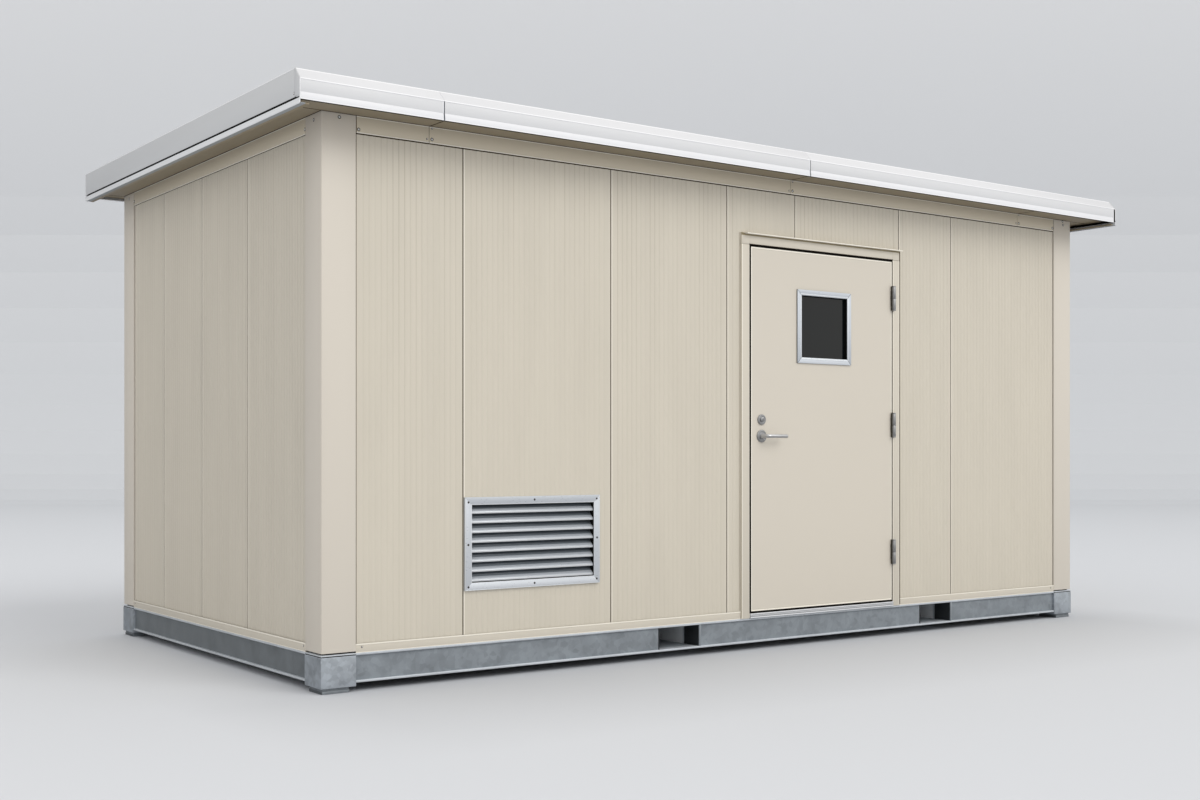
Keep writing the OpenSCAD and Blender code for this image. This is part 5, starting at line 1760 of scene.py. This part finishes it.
def lever():
    """Lever on both faces of the leaf: conical neck, rounded elbow and bar."""
    low, high = span("lever_handle")
    leaf_low, leaf_high = span("door_leaf")
    x, z = low.x + BAR_R, (low.z + high.z) / 2
    shape = Shape()
    for face, out, bar_y in ((leaf_low.y, -1, low.y + BAR_R), (leaf_high.y, 1, high.y - BAR_R)):
        shape.turned([(r, face + out * away) for r, away in NECK], (x, 0, z), "y")
        path = [(x, face + out * NECK_BACK, z), (x, bar_y - out * BEND_R, z)]
        for k in range(1, BEND_STEPS + 1):
            angle = math.pi / 2 * k / BEND_STEPS
            path.append((x + BEND_R * (1 - math.cos(angle)),
                         bar_y - out * BEND_R * (1 - math.sin(angle)), z))
        path += [(high.x - 3, bar_y, z), (high.x, bar_y, z)]
        shape.swept(path, BAR_R, tip=BAR_TIP)
    half, reach = SPINDLE, NECK[0][1]
    shape.box((x - half, leaf_low.y - reach, z - half), (x + half, leaf_high.y + reach, z + half))
    shape.piece("lever_handle_finished", LEVER_STEEL_LIT, "stainless_steel", "lever", ("lever_handle",))


def roses():
    """Stepped round roses of the lever and the lock, with the lock cylinder and its keyway, a dark
    block as painted shade.
    """
    leaf_low, leaf_high = span("door_leaf")
    barrel_low, barrel_high = span("lock_cylinder")
    lever_low, lever_high = span("lever_handle")
    x = lever_low.x + BAR_R
    lever_z, lock_z = (lever_low.z + lever_high.z) / 2, (barrel_low.z + barrel_high.z) / 2
    shape, cylinder, slots = Shape(), Shape(), Shape()
    for z, radius in ((lever_z, LEVER_ROSE_R), (lock_z, LOCK_ROSE_R)):
        steps = [(radius - inward, away) for inward, away in ROSE_STEPS]
        steps.append((ROSE_BORE, ROSE_STEPS[-1][1]))
        for face, out in ((leaf_low.y, -1), (leaf_high.y, 1)):
            shape.turned([(r, face + out * away) for r, away in steps], (x, 0, z), "y", FINE_SIDES)
    cylinder.turned([(r, barrel_low.y + away) for r, away in CYLINDER_END] +
                    [(r, barrel_high.y - away) for r, away in reversed(CYLINDER_END)],
                    (x, 0, lock_z), "y", FINE_SIDES)
    for y in (barrel_low.y, barrel_high.y):
        y0, y1 = y - KEY_OUT, y + KEY_OUT
        slots.box((x - KEY_HALF, y0, lock_z - KEY_DOWN), (x + KEY_HALF, y1, lock_z + KEY_R))
        slots.turned([(KEY_R, y0), (KEY_R, y1)], (x, 0, lock_z + KEY_R), "y", 16)
    shape.piece("roses_finished", STEEL, "stainless_steel", "door", ("lock_roses",))
    cylinder.piece("lock_cylinder_finished", STEEL, "stainless_steel", "door", ("lock_cylinder",))
    slots.piece("keyway", RUBBER_AND_SHADE, "dark_filler", "door")


def doorway():
    """Door frame, hood, sill, leaf and its fittings."""
    door_frame()
    frame_lines()
    frame_seal_and_shadow()
    door_hood()
    door_sill()
    dressed("door_leaf", DOOR_PAINT, "wall_paint", 0, "door")
    leaf_gap_shadows()
    leaf_rim()
    vision_panel()
    hinges()
    roses()
    lever()


# ---------------------------------------------------------------- louvre

LINER_T = 2
BLADE_COUNT = 8
# Sections of a blade, its nose lighter as painted light, and its upper end darker as painted shade
# under the next blade, as (depth, height)
BLADE = [(0, 4), (0, 13), (1.5, 15), (10, 20), (20, 29), (31, 46), (31, 49), (28.5, 49), (18, 31),
         (8, 22.5), (2.5, 18), (2, 4)]
NOSE = [(-0.5, 4), (-0.5, 13), (1, 15), (1, 4)]
BLADE_SHADE = [(19.8, 35.3), (28, 49.3), (29, 49.3), (28.7, 48.8), (20.8, 34.9)]
BLADE_DUSK = [(13.6, 28.1), (17.5, 31.4), (19.7, 35.2), (20.7, 34.8), (18.5, 30.6), (14.5, 27.2)]
# Screen: distance between wires, width of a wire and its depth in front of the frame's back
WIRE_PITCH = 12
WIRE_W = 5
WIRE_IN = 4
# Screws of the frame, as (along, up)
LOUVRE_SCREWS = ((777, 868), (776, 660), (777, 453), (1549, 873), (1551, 671), (1549, 458),
                 (1163, 875), (1163, 455))
LOUVRE_SCREW_R = 3.2


def louvre_frame():
    """Flat frame with inner and outer edges in a painted highlight, its sleeve and dark liners round
    the blades as painted shade.
    """
    low, high = span("louvre_frame")
    face = span("front_panel_2")[0].y
    lip, bar = LOUVRE_BAR - SLEEVE, LOUVRE_BAR
    bars, edges, liners = Shape(), Shape(), Shape()
    bars.ring(low, (high.x, face, high.z), bar, 0.5)
    bars.ring((low.x + lip, face - LAP, low.z + lip), (high.x - lip, high.y, high.z - lip), SLEEVE)
    edges.ring((low.x + lip, low.y - 0.6, low.z + lip), (high.x - lip, low.y + 4, high.z - lip),
               SLEEVE)
    edges.ring((low.x + 0.5, low.y - 0.4, low.z + 0.5), (high.x - 0.5, low.y + 1, high.z - 0.5), 2)
    liners.ring((low.x + bar, low.y + 5, low.z + bar), (high.x - bar, high.y - 1, high.z - bar),
                LINER_T)
    bars.piece("louvre_frame_bars", LOUVRE_METAL, "aluminium",
               stands_for=("louvre_frame",), bevel=1.5)
    edges.piece("louvre_frame_edges", LOUVRE_HIGHLIGHT, "aluminium", bevel=0.4)
    liners.piece("louvre_shade_liners", RUBBER_AND_SHADE, "dark_filler")


def louvre_blades():
    """Sloping blades, each with an upright nose lighter as painted light and painted shade on its
    upper end, repeated up the opening.
    """
    low, high = span("louvre_blades")
    frame_low, frame_high = span("louvre_frame")
    pitch = (frame_high.z - frame_low.z - 2 * LOUVRE_BAR) / BLADE_COUNT
    foot = frame_low.z + LOUVRE_BAR
    for name, outline, material, node in (
            ("louvre_blades_finished", BLADE, BLADE_METAL, ("louvre_blades",)),
            ("louvre_noses", NOSE, BLADE_NOSE_LIT, ()),
            ("louvre_shades", BLADE_SHADE, BLADE_SHADOW, ()),
            ("louvre_dusk", BLADE_DUSK, BLADE_HALF_SHADOW, ())):
        first = Shape().prism([(low.y + y, foot + z) for y, z in outline], low.x, high.x)
        blades = repeated(first, BLADE_COUNT, (0, 0, pitch), material)
        Shape().mesh(blades).piece(name, material, "aluminium", stands_for=node, bevel=0.3)


def insect_screen():
    """Fine wire screen behind the blades."""
    low, high = span("louvre_frame")
    x0, x1 = low.x + LOUVRE_BAR, high.x - LOUVRE_BAR
    z0, z1 = low.z + LOUVRE_BAR, high.z - LOUVRE_BAR
    y = high.y - WIRE_IN
    screen = Shape()
    for first, room, step in (
            (Shape().box((x0, y, z0), (x0 + WIRE_W, y + 1, z1)), x1 - x0, (WIRE_PITCH, 0, 0)),
            (Shape().box((x0, y + 1, z0), (x1, y + 2, z0 + WIRE_W)), z1 - z0, (0, 0, WIRE_PITCH))):
        screen.mesh(repeated(first, int(room / WIRE_PITCH), step, RUBBER_AND_SHADE))
    screen.piece("insect_screen", RUBBER_AND_SHADE, "dark_filler")


def louvre():
    """Ventilation louvre."""
    louvre_frame()
    louvre_blades()
    insect_screen()
    y = span("louvre_frame")[0].y
    screws("louvre_screws", [(x, y, z) for x, z in LOUVRE_SCREWS], TO_FRONT, DARK_STEEL,
           LOUVRE_SCREW_R)


# ---------------------------------------------------------------- studio

# Place in the wall frame, turn about the upright axis, and lens
CAMERA_PLACE = (-2898, -6176, 1111)
CAMERA_TURN = math.radians(-35.908)
LENS_LENGTH = 43.94
SENSOR_WIDTH = 36
LENS_RISE = 0.0439
SIGHT_END = 300
# Metres along the view, and up the backdrop, over which the floor changes
FLOOR_FADE = (-2.5, 22)
BACKDROP_FADE = (3, 14)
# Painted shadow on the floor: metres before the front and beside the ends over which the floor gets
# darker, and how much
DIM_START = (-0.6, 0)
DIM_END = (0.1, 1.5)
DIM_BESIDE = (0, 0.7)
FLOOR_DIM = 0.15
# How much darker the floor shows in polished metal: painted reflection
FLOOR_IN_METAL = 0.6
# World: level, and for polished metal the bright direction and its range
WORLD_COLOUR = (1.0, 0.985, 0.955, 1)
WORLD_LEVEL = 0.92
BRIGHT_WAY = (0.45, -0.35, 0.82)
BRIGHT_SPREAD = (-0.2, 0.9)
METAL_LEVELS = (0.55, 1.15)
# Floor and backdrop in metres: half width, height, radius of the bend and where it starts
REACH = 60.0
RISE = 30.0
BEND = 8.0
FAR = 22.0
BEND_PARTS = 12
# Sun: strength, softness, colour, tilt and turn
SUN_LEVEL = 0.98
SUN_SIZE = math.radians(35)
SUN_COLOUR = (1.0, 0.985, 0.95)
SUN_TILT = math.radians(50)
SUN_TURN = math.radians(18)


def floor_material():
    """Pale floor, a little darker far away, with painted shadow before the building, darker as seen
    in polished metal as painted reflection, and lighter up the backdrop.
    """
    material, tree, finish = new_material("studio_floor")
    where = parted(tree, place(tree))
    ahead = calc(tree, "MULTIPLY_ADD", where["X"], -math.sin(CAMERA_TURN),
                 calc(tree, "MULTIPLY", where["Y"], math.cos(CAMERA_TURN)))
    far = spread(tree, ahead, *FLOOR_FADE, 0, 1)
    risen = spread(tree, where["Z"], *BACKDROP_FADE, 0, 1)
    level = blend(tree, far, shade(214, 217, 223), shade(198, 201, 206))
    colour = blend(tree, risen, level, shade(217, 219, 223))
    # Painted shadow on the floor before the building
    before = calc(tree, "SUBTRACT", calc(tree, "MULTIPLY", where["Y"], -1), BODY_W * MM / 2)
    beside = calc(tree, "SUBTRACT", calc(tree, "ABSOLUTE", where["X"]), BODY_L * MM / 2)
    dim = calc(tree, "MULTIPLY", spread(tree, before, *DIM_START, 0, 1),
               spread(tree, before, *DIM_END, 1, 0))
    dim = calc(tree, "MULTIPLY", dim, spread(tree, beside, *DIM_BESIDE, 1, 0))
    clear = calc(tree, "MULTIPLY_ADD", dim, -FLOOR_DIM, 1)
    # The floor seen darker in polished metal: painted reflection
    polished = add(tree, "ShaderNodeLightPath").outputs["Is Glossy Ray"]
    clear = calc(tree, "MULTIPLY", clear,
                 calc(tree, "MULTIPLY_ADD", polished, -FLOOR_IN_METAL, 1))
    fill(tree, finish, {"Base Color": scaled(tree, colour, clear), "Roughness": 0.9,
                        "Specular IOR Level": 0.1})
    return material


def world_light():
    """Even pale world; polished metal sees it bright above and to the right, and darker elsewhere."""
    world = bpy.data.worlds.new("studio")
    world.use_nodes = True
    tree = world.node_tree
    way = add(tree, "ShaderNodeTexCoord").outputs["Generated"]
    along = add(tree, "ShaderNodeVectorMath", {0: way, 1: BRIGHT_WAY},
                operation="DOT_PRODUCT").outputs["Value"]
    shown = spread(tree, along, *BRIGHT_SPREAD, *METAL_LEVELS)
    polished = add(tree, "ShaderNodeLightPath").outputs["Is Glossy Ray"]
    fill(tree, tree.nodes["Background"], {
        "Color": WORLD_COLOUR, "Strength": between(tree, polished, WORLD_LEVEL, shown)})
    bpy.context.scene.world = world


def studio_floor():
    """Floor that bends up into a backdrop, square to the view."""
    outline = [(-REACH, 0)]
    for k in range(BEND_PARTS + 1):
        angle = math.pi / 2 * k / BEND_PARTS
        outline.append((FAR + BEND * math.sin(angle), BEND * (1 - math.cos(angle))))
    outline.append((FAR + BEND, RISE))
    verts = [(side * REACH, along, up) for along, up in outline for side in (-1, 1)]
    faces = [(2 * k, 2 * k + 1, 2 * k + 3, 2 * k + 2) for k in range(len(outline) - 1)]
    mesh = bpy.data.meshes.new("floor")
    mesh.from_pydata(verts, [], faces)
    mesh.transform(Matrix.Rotation(CAMERA_TURN, 4, "Z"))
    mesh.materials.append(floor_material())
    floor = bpy.data.objects.new("studio_floor", mesh)
    bpy.context.scene.collection.objects.link(floor)


def sun_light():
    """Soft light from high in front, a little to the right."""
    sun = bpy.data.lights.new("window_light", "SUN")
    sun.energy = SUN_LEVEL
    sun.angle = SUN_SIZE
    sun.color = SUN_COLOUR
    lamp = bpy.data.objects.new("window_light", sun)
    lamp.rotation_euler = (SUN_TILT, 0, SUN_TURN)
    bpy.context.scene.collection.objects.link(lamp)


def camera():
    """Camera a little over a metre up, ahead of the left corner."""
    lens = bpy.data.cameras.new("camera")
    lens.lens = LENS_LENGTH
    lens.sensor_width = SENSOR_WIDTH
    lens.shift_y = LENS_RISE
    lens.clip_end = SIGHT_END
    thing = bpy.data.objects.new("camera", lens)
    thing.location = WALL_ORIGIN + Vector(CAMERA_PLACE) * MM
    thing.rotation_euler = (math.pi / 2, 0, CAMERA_TURN)
    bpy.context.scene.collection.objects.link(thing)
    bpy.context.scene.camera = thing


def studio():
    """Pale floor and soft light, seen by the camera."""
    studio_floor()
    world_light()
    sun_light()
    camera()


walls()
skid()
corner_posts()
base_trims()
top_trims()
wall_screws()
roof()
doorway()
louvre()
studio()
bpy.context.scene.view_settings.view_transform = "Standard"
